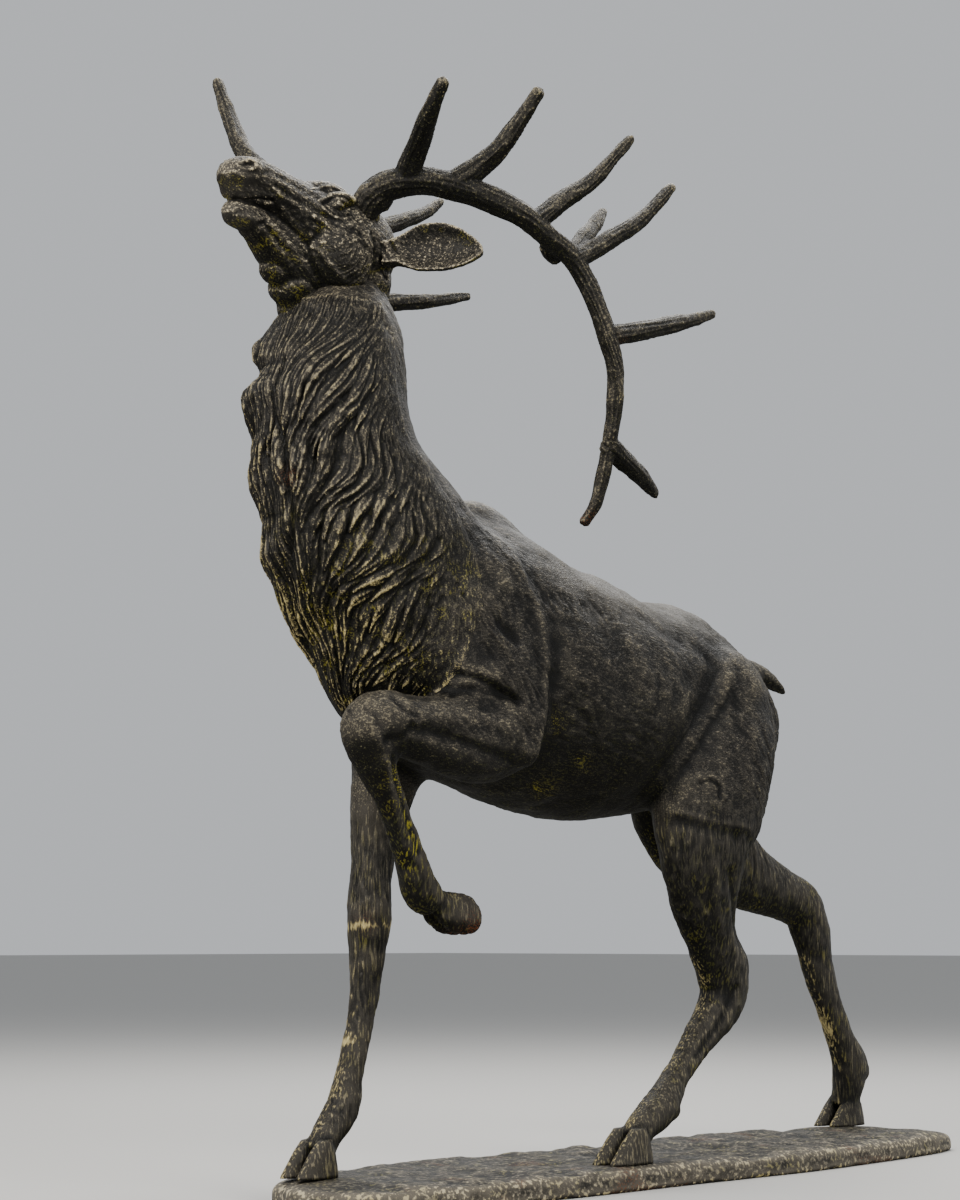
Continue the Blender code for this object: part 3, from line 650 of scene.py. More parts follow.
# %% Unrolling the neck
heights = [row[0] for row in NECK]
MANE_LOW, MANE_HIGH = 0.840, 1.620
MANE_TURN = math.radians(138)
MEAN_REACH = 0.195  # metres of arc for one radian round the neck
CELL = 0.0016  # of the map
RUFF_MIDDLE = math.radians(15)  # the narrow ruff of straight hair down the front of the throat
RUFF_HALF = math.radians(26)
MANE_EDGE = (  # height in metres, turn in degrees
    (0.90, 82), (1.00, 92), (1.10, 102), (1.25, 106), (1.40, 106), (1.58, 102),
)


def neck_section(z):
    """Front, back and half width of the neck at a height."""
    return [np.interp(z, heights, [row[k] for row in NECK]) for k in (1, 2, 3)]


def mane_edge(z):
    """How far round the neck the long hair reaches at a height, in metres of arc."""
    return np.radians(np.interp(z, *np.array(MANE_EDGE).T)) * MEAN_REACH


map_wide = int(2 * MANE_TURN * MEAN_REACH / CELL)
map_high = int((MANE_HIGH - MANE_LOW) / CELL)
relief = np.zeros((map_high, map_wide))  # the heights of the locks
arc, level = np.meshgrid((np.arange(map_wide) + 0.5) * CELL - MANE_TURN * MEAN_REACH,
                         (np.arange(map_high) + 0.5) * CELL + MANE_LOW)
print("mane map:", map_wide, "by", map_high, "cells")


# %% Painting the locks
def lie(s, z, phase):
    """Angle of the hair from straight down at a place, in radians, positive towards +s."""
    turn = s / MEAN_REACH - RUFF_MIDDLE
    sweep = math.radians(np.interp(abs(turn), (0.40, 0.62, 1.00, 1.50, 2.20), (0, 24, 44, 42, 26)))
    wave = 0.30 * noise.noise(Vector((s * 6, z * 8, 3.0))) + 0.24 * math.sin(z * 44 + s * 9 + phase)
    return -math.copysign(1, turn) * sweep + wave


def paint_lock(s, z, length, half, crown, phase, ridges, cut):
    """Paints one tapering lock from its root at s, z. Where two meet, the higher one covers the lower."""
    steps = max(6, int(length / (CELL * 0.8)))
    path = []
    for _ in range(steps):
        angle = lie(s, z, phase)
        path.append((s, z, angle))
        s += math.sin(angle) * length / steps
        z -= math.cos(angle) * length / steps
    path = np.array(path)
    t = np.linspace(0, 1, steps)[:, None]
    width = half * np.minimum(1.0, 0.15 + 2.6 * t) * (1 - 0.95 * fade(t, 0.50, 1.0))
    across = np.linspace(-1, 1, max(7, int(2 * half / (CELL * 0.6))))[None, :]
    ss = path[:, 0:1] + np.cos(path[:, 2:3]) * across * width
    zz = path[:, 1:2] + np.sin(path[:, 2:3]) * across * width
    dome = 1 - np.abs(across) ** 2.6
    crests = 1 - np.abs(np.sin(ridges * math.pi / 2 * across + 0.9 * np.sin(4.5 * t + 3 * phase))) ** 0.75
    height = (crown * (0.12 + 0.88 * fade(t, 0.0, 0.62)) + cut * crests) * dome
    col = ((ss + MANE_TURN * MEAN_REACH) / CELL).astype(int)
    row = ((zz - MANE_LOW) / CELL).astype(int)
    inside = (col >= 0) & (col < map_wide) & (row >= 0) & (row < map_high)
    np.maximum.at(relief, (row[inside], col[inside]), height[inside])


rng = np.random.default_rng(7)  # the same dice on every run
LOCK_LENGTH, LOCK_HALF, LOCK_CROWN, LOCK_CUT = 0.165, 0.0125, 0.0125, 0.0026
LOCK_ROWS, TOP_ROW, LOW_ROW = 17, 1.572, 0.925
COLUMN_STEP = 0.0190
painted = 0
for row, z in enumerate(np.linspace(TOP_ROW, LOW_ROW, LOCK_ROWS)):
    edge = float(mane_edge(z))
    for s in np.arange(-edge, edge, COLUMN_STEP) + COLUMN_STEP * 0.5 * (row % 2):
        inner = float(fade(edge - abs(s), 0.0, 0.14))  # 0 at the border of the mane, 1 well inside it
        size = rng.uniform(0.7, 1.3)
        strong = (0.10 + 0.90 * inner) * float(np.interp(z, (0.92, 1.02, 1.46, 1.57), (0.8, 1.0, 1.0, 0.45)))
        longer = float(np.interp(z, (0.95, 1.20, 1.35), (0.62, 0.85, 1.0)))
        paint_lock(
            s + rng.uniform(-0.008, 0.008), z + rng.uniform(-0.022, 0.022),
            LOCK_LENGTH * size * longer * (0.45 + 0.55 * inner),
            LOCK_HALF * (0.7 + 0.4 * size) * (0.6 + 0.4 * inner),
            LOCK_CROWN * strong * rng.uniform(0.6, 1.25), rng.uniform(-0.5, 0.5), int(rng.integers(2, 4)),
            LOCK_CUT * (0.6 + 0.4 * inner),
        )
        painted += 1
print("locks painted:", painted)

# %% Tufts of the ruff and short hair at the border
TUFTS = (  # turn in degrees, height of the root, length, half width, height of the crown
    (38, 1.535, 0.070, 0.022, 0.014), (8, 1.500, 0.110, 0.020, 0.014), (32, 1.430, 0.120, 0.028, 0.012),
    (2, 1.400, 0.130, 0.022, 0.016), (44, 1.330, 0.120, 0.026, 0.012), (16, 1.310, 0.130, 0.024, 0.014),
    (34, 1.270, 0.110, 0.026, 0.012), (4, 1.215, 0.140, 0.024, 0.017), (30, 1.160, 0.130, 0.028, 0.013),
    (-4, 1.090, 0.110, 0.022, 0.014),
)
for turn, z, length, half, crown in TUFTS:
    paint_lock(math.radians(turn) * MEAN_REACH, z, length, half, crown, rng.uniform(-0.5, 0.5), 5, 0.0022)
SHORT_HAIRS = 3400
for _ in range(SHORT_HAIRS):
    z = rng.uniform(0.90, 1.60)
    edge = float(mane_edge(z))
    s = (edge + 0.022 - abs(rng.normal(0.0, 0.040))) * rng.choice((-1, 1))
    if z > 1.53:
        s = rng.uniform(-edge, edge)
    paint_lock(s, z, rng.uniform(0.022, 0.050), rng.uniform(0.0032, 0.0052), rng.uniform(0.0012, 0.0028),
               rng.uniform(-0.4, 0.4), 1, 0.0010)
print("short hairs:", SHORT_HAIRS)

# %% [markdown]
# ## Wrapping the map round the neck
# A grid is laid over the flesh by casting a ray outwards from the middle of the neck for every grid
# point. The painted height is added along the way out, together with the broad swells of the ruff and the
# channel beside it. Beyond the last hairs the grid dives a little under the flesh. The flesh under the
# mane is pressed in afterwards, so that even the deepest channels stay open.

# %% Broad forms of the mane
RUFF_SWELLS = metres((  # height, how far the ruff stands out or falls back there
    (880, -16), (930, -12), (970, -4), (1080, -2), (1120, 3), (1145, -8), (1180, -17), (1210, -10),
    (1245, 1), (1270, 2), (1295, -6), (1335, -10), (1370, 0), (1404, 9), (1420, 6), (1437, -10),
    (1460, -12), (1478, 6), (1500, 13), (1545, 10), (1600, 0),
))
CHANNEL_DEPTH, CHANNEL_HALF = 0.010, 0.011


def blurred(grid, rounds):
    """The map with every cell mixed with its four neighbours."""
    for _ in range(rounds):
        padded = np.pad(grid, 1, mode="edge")
        sides = padded[:-2, 1:-1] + padded[2:, 1:-1] + padded[1:-1, :-2] + padded[1:-1, 2:]
        grid = 0.5 * grid + 0.125 * sides
    return grid


def sampled(grid, row, col):
    """Heights read between the cells of a map."""
    row = np.clip(row, 0, map_high - 1.001)
    col = np.clip(col, 0, map_wide - 1.001)
    r, c = row.astype(int), col.astype(int)
    fr, fc = row - r, col - c
    low = grid[r, c] * (1 - fc) + grid[r, c + 1] * fc
    high = grid[r + 1, c] * (1 - fc) + grid[r + 1, c + 1] * fc
    return low * (1 - fr) + high * fr


inside_edge = mane_edge(level) - np.abs(arc)
well_inside = fade(inside_edge, 0.03, 0.10) * fade(level, 0.93, 1.00) * (1 - fade(level, 1.54, 1.59))
around = arc / MEAN_REACH - RUFF_MIDDLE
swell = np.interp(level, *np.array(RUFF_SWELLS).T) * np.exp(-((around - 0.35) / 0.75) ** 2)
wander = 0.012 * np.sin(level * 19) + 0.006 * np.sin(level * 47)
channel = 0 * level
for side in (-1, 1):
    middle = (RUFF_MIDDLE + side * RUFF_HALF) * MEAN_REACH + wander
    channel += np.exp(-(((arc - middle) / CHANNEL_HALF) ** 2))
channel *= fade(level, 1.04, 1.14) * (1 - fade(level, 1.44, 1.52))
cells = np.column_stack([(arc + 0.5 * level).ravel(), 0.6 * level.ravel(), 0 * arc.ravel()])
lumps = mottle(cells, 0.050, 21)
low_ground = -0.004 * well_inside + 0.0055 * lumps.reshape(arc.shape) * well_inside
covered = np.maximum((relief > 0).astype(float), well_inside > 0)
covered = blurred(covered, 3) * fade(inside_edge, -0.036, -0.008) * (1 - fade(level, 1.592, 1.606))
relief *= 0.30 + 0.70 * fade(inside_edge, -0.02, 0.09)
height_map = blurred(relief, 1) + low_ground + swell - CHANNEL_DEPTH * channel
height_map = height_map * covered + 0.0006 * covered - 0.006 * (1 - covered)
print("map heights", [round(float(edge) * 1000, 1) for edge in (height_map.min(), height_map.max())], "mm")

# %% The mane
GRID_STEP = 0.0025 * ROUGH
grid_across = int(2 * MANE_TURN * MEAN_REACH / GRID_STEP)
grid_up = int((MANE_HIGH - MANE_LOW) / GRID_STEP)
bm = bmesh.new()
bmesh.ops.create_grid(bm, x_segments=grid_across, y_segments=grid_up, size=0.5)
mane = made("stag_mane", bm)
unit = points_of(mane)
turns = (unit[:, 0] * 2) * MANE_TURN
levels = MANE_LOW + (unit[:, 1] + 0.5) * (MANE_HIGH - MANE_LOW)
front, back, half_width = (np.asarray(v) for v in neck_section(levels))
body_tree = BVHTree.FromObject(body, bpy.context.evaluated_depsgraph_get())
centre = np.stack([(front + back) / 2, np.zeros(len(levels)), levels], 1)
outward = np.stack([-np.cos(turns) * (back - front) / 2, np.sin(turns) * half_width, 0 * levels], 1)
outward /= np.linalg.norm(outward, axis=1)[:, None]
reach = np.zeros(len(levels))
limit = 1.25 * np.hypot(np.cos(turns) * (back - front) / 2, np.sin(turns) * half_width) + 0.04
for i in range(len(levels)):
    hit = body_tree.ray_cast(Vector(centre[i]), Vector(outward[i]), float(limit[i]))
    reach[i] = hit[3] if hit[0] is not None else limit[i]
skinned = centre + outward * reach[:, None]
skinned = relax(skinned, edges_of(mane), 6)
out = shaped(mane, skinned)
out *= np.sign((out * outward).sum(1))[:, None]
lift = sampled(height_map, (levels - MANE_LOW) / CELL, (turns * MEAN_REACH + MANE_TURN * MEAN_REACH) / CELL)
skinned = skinned + out * lift[:, None]
shaped(mane, skinned)
print("mane grid:", len(levels), "vertices, relief up to", round(float(lift.max()) * 1000, 1), "mm")

# %% Press in the flesh under the mane
PRESSED = 0.024  # deeper than any channel of the mane
x, y, z = body_clay["points"].T
front, back, half_width = neck_section(z)
turn = np.arctan2(y / half_width, -2 * (x - (front + back) / 2) / (back - front))
under = fade(mane_edge(z) - np.abs(turn) * MEAN_REACH, 0.03, 0.08)
under *= fade(z, 0.95, 1.01) * (1 - fade(z, 1.52, 1.57))
body_clay["lift"] -= PRESSED * under
struck(body_clay)
print("pressed in under the mane:", int((under > 0.5).sum()), "vertices")

# %% Close the mane inside the neck
bm = bmesh.new()
bm.from_mesh(mane.data)
rim = [e for e in bm.edges if e.is_boundary]
MIDDLE_OF_NECK = Vector((-0.20, 0.0, 1.22))
drawn_in = bmesh.ops.extrude_edge_only(bm, edges=rim)["geom"]
drawn_in = [part for part in drawn_in if isinstance(part, bmesh.types.BMVert)]
bmesh.ops.pointmerge(bm, verts=drawn_in, merge_co=MIDDLE_OF_NECK)
bmesh.ops.recalc_face_normals(bm, faces=bm.faces)
bm.to_mesh(mane.data)
bm.free()
thinned(mane, MANE_TRIANGLES)
print("mane:", len(mane.data.polygons), "faces")

# %% [markdown]
# ## The head
# Skull and lower jaw are two lofts that leave the open mouth between them. Brows, eyes, cheeks and
# nostrils are eggs set into them, and the ears are hollow leaves. The head is modelled level, which keeps
# its left and right sides alike, and is rolled to its real tilt only when the carving is done.

# %% Masses of the head
LEFT_EAR = metres(((-262, -80, 1686), (-146, -228, 1688)))  # root and tip
RIGHT_EAR = metres(((-262, 80, 1712), (-140, 224, 1742)))
EAR_HALF_WIDTH, EAR_HALF_THICK, EAR_BOW = 0.050, 0.0135, 0.012
EAR_RING = 28
EAR_SHAPE = (  # place along the ear, share of the width
    (0.0, 0.45), (0.15, 0.55), (0.25, 0.76), (0.35, 0.95), (0.48, 1.0), (0.6, 0.99), (0.7, 0.90), (0.8, 0.75),
    (0.88, 0.56), (0.94, 0.38), (0.98, 0.24), (1.0, 0.12),
)


def ear(bm, root, tip):
    """A leaf-shaped ear with a hollow front, from crescent rings along its length."""
    root, tip = Vector(root), Vector(tip)
    axis = (tip - root).normalized()
    wide = Vector((0.25, 0.0, 1.0))
    wide = (wide - wide.dot(axis) * axis).normalized()
    deep = axis.cross(wide)
    if deep.x > 0:
        deep = -deep
    piece = bmesh.new()
    rings = []
    for t, spread in EAR_SHAPE:
        half = EAR_HALF_WIDTH * spread
        centre = root.lerp(tip, t) + wide * EAR_BOW * math.sin(math.pi * t)
        thick = EAR_HALF_THICK * (1.2 if t < 0.2 else 0.75)
        ring = bmesh.ops.create_circle(piece, segments=EAR_RING, radius=1.0)["verts"]
        for v in ring:
            across = math.copysign(abs(v.co.x) ** 0.8, v.co.x)
            through = math.copysign(abs(v.co.y) ** 0.5, v.co.y)
            hollow = 0.55 * half * (1 - across * across)
            v.co = centre + wide * half * across + deep * (thick * through - hollow)
        rings.append(ring)
    skin(piece, rings)
    add(bm, piece)


HEAD_EGGS = (  # rows for eggs: throat, crown of the head, root of the neck
    (-430, 0, 1640, 43, 36, 34, 0), (-395, 0, 1616, 48, 46, 36, -30), (-364, 0, 1584, 50, 50, 45, -20),
    (-377, 0, 1601, 46, 46, 46, 0), (-350, 0, 1798, 52, 44, 21, 0), (-255, 0, 1650, 75, 80, 75, 0),
)
FACE_EGGS = (  # one on each side: brow, eyeball, cheek, root of the antler, nostril
    (-352, 50, 1784, 36, 26, 14, -8), (-368, 52, 1768, 20, 18, 16, 0), (-334, 53, 1677, 78, 42, 67, 24),
    (-285, 50, 1772, 28, 28, 30, 0), (-548, 25, 1798, 25, 18, 18, 0),
)
head_bm = bmesh.new()
ear(head_bm, *LEFT_EAR)
ear(head_bm, *RIGHT_EAR)
unroll = Matrix.Rotation(-HEAD_ROLL, 3, "X")
bmesh.ops.rotate(head_bm, verts=head_bm.verts, cent=HEAD_PIVOT, matrix=unroll)
body_loft(head_bm, SKULL)
body_loft(head_bm, JAW)
eggs(head_bm, HEAD_EGGS)
for side in (-1, 1):
    eggs(head_bm, FACE_EGGS, side)
head = remeshed("stag_head", head_bm, HEAD_GRAIN)
head_clay = clay_of(head, relax(points_of(head), edges_of(head), 5))
print("head:", len(head_clay["points"]), "vertices")

# %% [markdown]
# ## Carving the face
# The face is carved with the same pressing tool, once on each side: nostrils with a raised rim, the gap
# of the mouth with its full lower lip, lids round a bulging eye, the slit in front of the eye, three
# small warts, and the long creases that run from the corner of the mouth back to the cheek.

# %% Face strokes
NOSTRIL = (-567, 37, 1803)
NOSTRIL_RIM = (
    (-583, 24, 1801), (-578, 30, 1810), (-566, 36, 1815), (-552, 42, 1808), (-551, 43, 1799),
    (-562, 40, 1791), (-577, 30, 1793), (-583, 24, 1801),
)
EYE = (-366, 66, 1770)
LOWER_LID = ((-396, 62, 1761), (-384, 70, 1753), (-364, 76, 1752), (-344, 76, 1759))
UPPER_LID = ((-402, 60, 1765), (-384, 62, 1778), (-368, 72, 1786), (-342, 76, 1776))
MOUTH_GAP = ((-566, 12, 1741), (-548, 22, 1741), (-524, 30, 1745), (-500, 35, 1751))
FACE_STROKES = metres((  # path on the right side of the face, width, rise
    # nostril: rim, hole, and the flare behind it
    (NOSTRIL_RIM, 3.8, 3.4),
    (((-573, 33, 1803), NOSTRIL, (-559, 40, 1803)), 5, -12.5),
    (((-545, 44, 1790), (-536, 43, 1803), (-540, 36, 1815)), 6, 2.5),
    (((-535, 44, 1785), (-522, 42, 1800)), 6, -2.5),
    # upper lip: the deep hollow under the nostril and the rolled edge over the mouth
    (((-578, 26, 1763), (-564, 34, 1762), (-538, 40, 1766)), 12, -8),
    (((-582, 20, 1782), (-566, 36, 1780), (-540, 43, 1782)), 5.5, 2),
    (((-560, 17, 1746), (-535, 30, 1751), (-505, 37, 1757)), 4.5, 2.6),
    (MOUTH_GAP, 4.2, -8.5),
    # lower lip: a full roll, a groove under it and the chin
    (((-566, 12, 1732), (-545, 26, 1733), (-520, 32, 1737), (-500, 36, 1742)), 5, 3),
    (((-560, 20, 1716), (-535, 31, 1719), (-512, 34, 1724)), 5.5, -2.8),
    (((-560, 14, 1702), (-538, 26, 1700)), 8, 2.2),
    (((-530, 12, 1686), (-520, 26, 1697), (-508, 33, 1712)), 5.5, -3.5),
    # folds from the corner of the mouth back along the jaw
    (((-500, 35, 1751), (-488, 36, 1742), (-480, 36, 1730)), 5, -4.5),
    (((-497, 37, 1762), (-476, 40, 1738), (-450, 42, 1717), (-414, 52, 1694),
      (-384, 70, 1664), (-352, 74, 1642)), 6.5, 4.2),
    (((-494, 28, 1728), (-462, 40, 1704), (-430, 47, 1677), (-392, 56, 1648),
      (-330, 62, 1620)), 8, -5),
    (((-520, 28, 1693), (-480, 31, 1667), (-440, 37, 1639), (-395, 36, 1610)), 7.5, 3.4),
    (((-505, 22, 1678), (-470, 24, 1652), (-430, 26, 1628)), 7, -2.8),
    (((-510, 34, 1706), (-490, 34, 1692), (-455, 40, 1668)), 6, -4),
    # long lines from the muzzle to the eye and under it
    (((-503, 42, 1768), (-460, 48, 1752), (-420, 63, 1738), (-378, 76, 1722),
      (-330, 86, 1712)), 5.5, 2.6),
    (((-500, 42, 1776), (-455, 50, 1761), (-415, 62, 1748), (-380, 74, 1738)), 4.5, -2.6),
    (((-505, 42, 1788), (-450, 50, 1772), (-403, 62, 1759), (-374, 74, 1747),
      (-335, 80, 1742)), 5.5, 2.8),
    (((-495, 40, 1796), (-445, 46, 1784), (-405, 58, 1772)), 6, -2.2),
    (((-520, 36, 1806), (-480, 36, 1798), (-437, 38, 1791), (-400, 46, 1786)), 6.5, 1.8),
    # the eye: ball, lids, brow fold and the wrinkles of the brow
    ((EYE, (-362, 68, 1769)), 8.5, 7.5),
    (LOWER_LID, 3.6, -4.2),
    (UPPER_LID, 3.6, -4.8),
    (((-404, 60, 1772), (-384, 60, 1787), (-362, 70, 1794), (-338, 76, 1784)), 5, 4.2),
    (((-396, 66, 1745), (-370, 78, 1741), (-346, 81, 1748)), 6, -4.2),
    (((-340, 78, 1762), (-328, 80, 1748)), 7, -5),
    (((-408, 46, 1790), (-386, 42, 1801), (-352, 50, 1804)), 3.6, -2.8),
    (((-414, 36, 1797), (-386, 30, 1809), (-348, 38, 1812)), 4, -2.4),
    (((-410, 42, 1794), (-386, 36, 1806), (-350, 44, 1809)), 3.6, 2.4),
    # three small warts
    (((-420, 63, 1737),), 5.5, 6),
    (((-414, 55, 1704),), 5.2, 5.2),
    (((-404, 56, 1682),), 4.6, 4.4),
    # the flat cheek plate, standing above its surroundings
    (((-400, 66, 1722), (-402, 60, 1690), (-388, 66, 1660)), 6.5, -3.4),
    (((-392, 72, 1722), (-394, 68, 1690), (-376, 74, 1656), (-338, 78, 1636),
      (-304, 82, 1640)), 8.5, 3.8),
    (((-392, 60, 1632), (-345, 64, 1606), (-296, 70, 1606)), 8, -4.5),
    (((-300, 86, 1650), (-296, 90, 1690), (-312, 92, 1722)), 8.5, 3),
    (((-280, 84, 1650), (-278, 88, 1690), (-294, 88, 1730)), 7, -4.8),
    (((-386, 76, 1733), (-350, 84, 1729), (-320, 88, 1722)), 5, -2.4),
    # folds of skin below the root of the ear
    (((-268, 94, 1722), (-256, 98, 1704), (-240, 92, 1684)), 5, 4.2),
    (((-258, 98, 1726), (-244, 102, 1708), (-228, 96, 1690)), 4.2, -4.8),
    (((-262, 88, 1690), (-250, 86, 1672), (-232, 80, 1660)), 5, -4),
))
FACE_DEPTH = 0.62  # the face is worn, so every stroke is shallower than it was cut
for side in (-1, 1):
    for path, width, rise in FACE_STROKES:
        stroke(head_clay, [(x, side * y, z) for x, y, z in path], width, rise * FACE_DEPTH)
struck(head_clay)

# %% Fur of the head
x, y, z = head_clay["points"].T
nose_bare = 1 - fade(x, -0.590, -0.560)
fine = streaks(head_clay["points"], (1.0, 0.25, -0.55), 0.0046, 0.030, 31)
cheek_angle = np.arctan2(z - 1.70, x + 0.38)
away = np.hypot(z - 1.70, x + 0.38)
swirl = ridged(np.column_stack([away / 0.0052, cheek_angle / 0.45, y / 0.05]), 33)
lower_cheek = fade(x, -0.385, -0.350) * (1 - fade(z, 1.690, 1.715))
fur = fine * (1 - lower_cheek) + 1.7 * swirl * lower_cheek
ears = fade(np.abs(y), 0.105, 0.125)
head_clay["lift"] += 0.0006 * fur * (1 - nose_bare) * (1 - 0.5 * ears)
lumps = 0.0007 * mottle(head_clay["points"], 0.014, 35) + 0.0005 * mottle(head_clay["points"], 0.006, 37)
head_clay["lift"] += lumps
struck(head_clay)
print("strokes on the face:", 2 * len(FACE_STROKES))

# %% Roll the head to its real tilt
roll = np.array(Matrix.Rotation(HEAD_ROLL, 3, "X"))
pivot = np.array(HEAD_PIVOT)
shaped(head, (head_clay["points"] - pivot) @ roll.T + pivot)
thinned(head, HEAD_TRIANGLES)
print("head:", len(head.data.polygons), "faces")

# %% [markdown]
# ## The antlers
# Each antler is a beam with its tines, all of them round tapers along smooth paths. They are melted
# together so that a tine grows out of its beam. The grooves of real antler run lengthwise, so each vertex
# is measured against the nearest stretch of the nearest branch, and the pattern is stretched along that
# stretch.

# %% Branch paths
LEFT_BEAM = metres((
    (-295, -45, 1745), (-280, -90, 1802), (-222, -150, 1820), (-130, -205, 1802), (-69, -250, 1770),
    (-21, -270, 1737), (44, -295, 1684), (88, -320, 1571), (116, -325, 1471), (120, -305, 1359),
    (120, -275, 1254), (110, -250, 1208),
))
LEFT_TINES = metres((
    ((-248, -120, 1815), (-266, -174, 1865), (-313, -254, 1902), (-334, -309, 1942)),
    ((-185, -175, 1812), (-138, -208, 1853), (-113, -248, 1894), (-82, -310, 1988)),
    ((-43, -262, 1757), (24, -280, 1813), (89, -300, 1865), (164, -327, 1955)),
    ((40, -293, 1695), (137, -300, 1757), (209, -310, 1805), (294, -320, 1889)),
    ((105, -322, 1555), (240, -320, 1596), (339, -315, 1628), (431, -310, 1662)),
    ((120, -300, 1350), (203, -285, 1324), (275, -262, 1306), (326, -245, 1291)),
    ((40, -285, 1700), (58, -275, 1722), (148, -240, 1792), (210, -215, 1844)),
))
RIGHT_BEAM = metres((
    (-295, 45, 1760), (-262, 85, 1800), (-185, 170, 1815), (-85, 235, 1800), (-12, 275, 1760),
    (50, 300, 1690), (90, 312, 1590), (100, 305, 1490), (95, 290, 1400), (95, 265, 1310), (85, 230, 1235),
))
RIGHT_TINES = metres((
    ((-245, 100, 1806), (-318, 130, 1838), (-362, 184, 1904), (-354, 243, 1985), (-340, 308, 2095)),
    ((-185, 170, 1815), (-120, 280, 1835), (-60, 380, 1875)),
    ((-77, 225, 1810), (24, 235, 1862), (107, 250, 1899), (190, 260, 1939), (244, 268, 1977)),
    ((20, 290, 1700), (102, 275, 1729), (216, 270, 1755), (328, 270, 1788)),
    ((95, 312, 1560), (130, 400, 1590), (170, 490, 1640)),
    ((98, 292, 1390), (120, 340, 1360), (150, 390, 1320)),
))
KNOB = metres(((-5, -262, 1722), (22, -248, 1712), (42, -240, 1708)))
PEDICLES = ((-281, -80, 1792, 38, 30, 32, 0), (-281, 80, 1794, 38, 30, 32, 0))  # rows for eggs
BEAM_RADIUS = (0.031, 0.012, 0.021)  # at the root, the tip and halfway
TINE_RADIUS = (0.021, 0.0105)  # at the root and the tip
STOUT = 1.18  # how much thicker the two lowest tines are
CAP = ((0.35, 0.86), (0.62, 0.60), (0.78, 0.25))  # the blunt tip: how far on and how thick, in tip radii
TINE_RING = 20
grain_lines = []


def branch(bm, points, root, tip, middle=None):
    """A round taper along a smooth path with a blunt end. Its centre line is kept for the grooves."""
    path = smooth_rows(points, 6)
    t = np.linspace(0, 1, len(path))
    if middle is None:
        radii = root + (tip - root) * t**1.8
    else:
        radii = np.interp(t, (0, 0.5, 1), (root, middle, tip))
    ahead = path[-1] - path[-2]
    ahead /= np.linalg.norm(ahead)
    caps = [path[-1] + ahead * tip * share for share, _ in CAP]
    centres = [tuple(p) for p in np.vstack([path, caps])]
    radii = list(radii) + [tip * thick for _, thick in CAP]
    loft(bm, centres, radii, radii, TINE_RING)
    dense = smooth_rows(points, 14)
    tangent = np.gradient(dense, axis=0)
    tangent /= np.linalg.norm(tangent, axis=1)[:, None]
    length = np.concatenate([[0], np.cumsum(np.linalg.norm(np.diff(dense, axis=0), axis=1))])
    thickness = np.interp(np.linspace(0, 1, len(dense)), t, radii[: len(t)])
    grain_lines.append((dense, tangent, length, thickness))


antler_bm = bmesh.new()
for beam, tines in ((LEFT_BEAM, LEFT_TINES), (RIGHT_BEAM, RIGHT_TINES)):
    branch(antler_bm, beam, *BEAM_RADIUS)
    for place, points in enumerate(tines):
        stout = STOUT if place < 2 else 1.0
        branch(antler_bm, points, TINE_RADIUS[0] * stout, TINE_RADIUS[1] * stout)
branch(antler_bm, KNOB, 0.018, 0.014)
eggs(antler_bm, PEDICLES)
antlers = remeshed("stag_antlers", antler_bm, ANTLER_GRAIN)
antler_clay = clay_of(antlers, relax(points_of(antlers), edges_of(antlers), 5))
print("antlers:", len(antler_clay["points"]), "vertices on", len(grain_lines), "branches")


# %% Grooves along the antlers
BRANCH_STEP = 3.7  # metres between the starts of two branches in the pattern, so that no two are alike


def along_branches(points):
    """For each point: its offset across the nearest branch, and how far along the branch it is."""
    best = np.full(len(points), np.inf)
    local = np.zeros((len(points), 3))
    run = np.zeros(len(points))
    for number, (dense, tangent, length, radii) in enumerate(grain_lines):
        side = np.cross(tangent, (0.0, 0.3, 1.0))
        side /= np.linalg.norm(side, axis=1)[:, None]
        over = np.cross(tangent, side)
        low, high = dense.min(0) - 0.06, dense.max(0) + 0.06
        near = np.flatnonzero(((points > low) & (points < high)).all(1))
        gap = np.linalg.norm(points[near, None, :] - dense[None], axis=2) / radii[None]
        pick = gap.argmin(1)
        gap = gap[np.arange(len(near)), pick]
        better = gap < best[near]
        near, pick = near[better], pick[better]
        best[near] = gap[better]
        offset = points[near] - dense[pick]
        ahead = (offset * tangent[pick]).sum(1)
        local[near] = np.stack([(offset * side[pick]).sum(1), (offset * over[pick]).sum(1), ahead * 0], 1)
        run[near] = length[pick] + ahead + BRANCH_STEP * number
    return local, run


BURRS = metres(((-283, -75, 1790), (-283, 75, 1792)))  # the rough rings at the roots
local, run = along_branches(antler_clay["points"])
grooves = ridged(np.column_stack([local[:, :2] / 0.0062, run / 0.075]), 41, 0.6)
fine_grooves = mottle(np.column_stack([local[:, :2] / 0.0030, run / 0.040]), 1.0, 43)
pearls = np.maximum(mottle(antler_clay["points"], 0.0075, 45), 0) ** 1.5
burr = sum(nearness(antler_clay["points"], [place], 0.035) for place in BURRS)
pearls *= 0.0010 + 0.0018 * burr
antler_clay["lift"] += -0.0012 + 0.0013 * grooves + 0.0006 * fine_grooves + pearls
antler_clay["lift"] += 0.0016 * mottle(antler_clay["points"], 0.035, 47)
struck(antler_clay)
thinned(antlers, ANTLER_TRIANGLES)
print("antlers:", len(antlers.data.polygons), "faces")

# %% [markdown]
# ## The ground-work
# The slab under the hooves is cast to look like trodden earth: a rounded outline, a rolled edge and a
# lumpy top that is level only where a hoof stands. Its rings climb the edge and then run inwards over
# the top, and the lumps are added after the remesh.

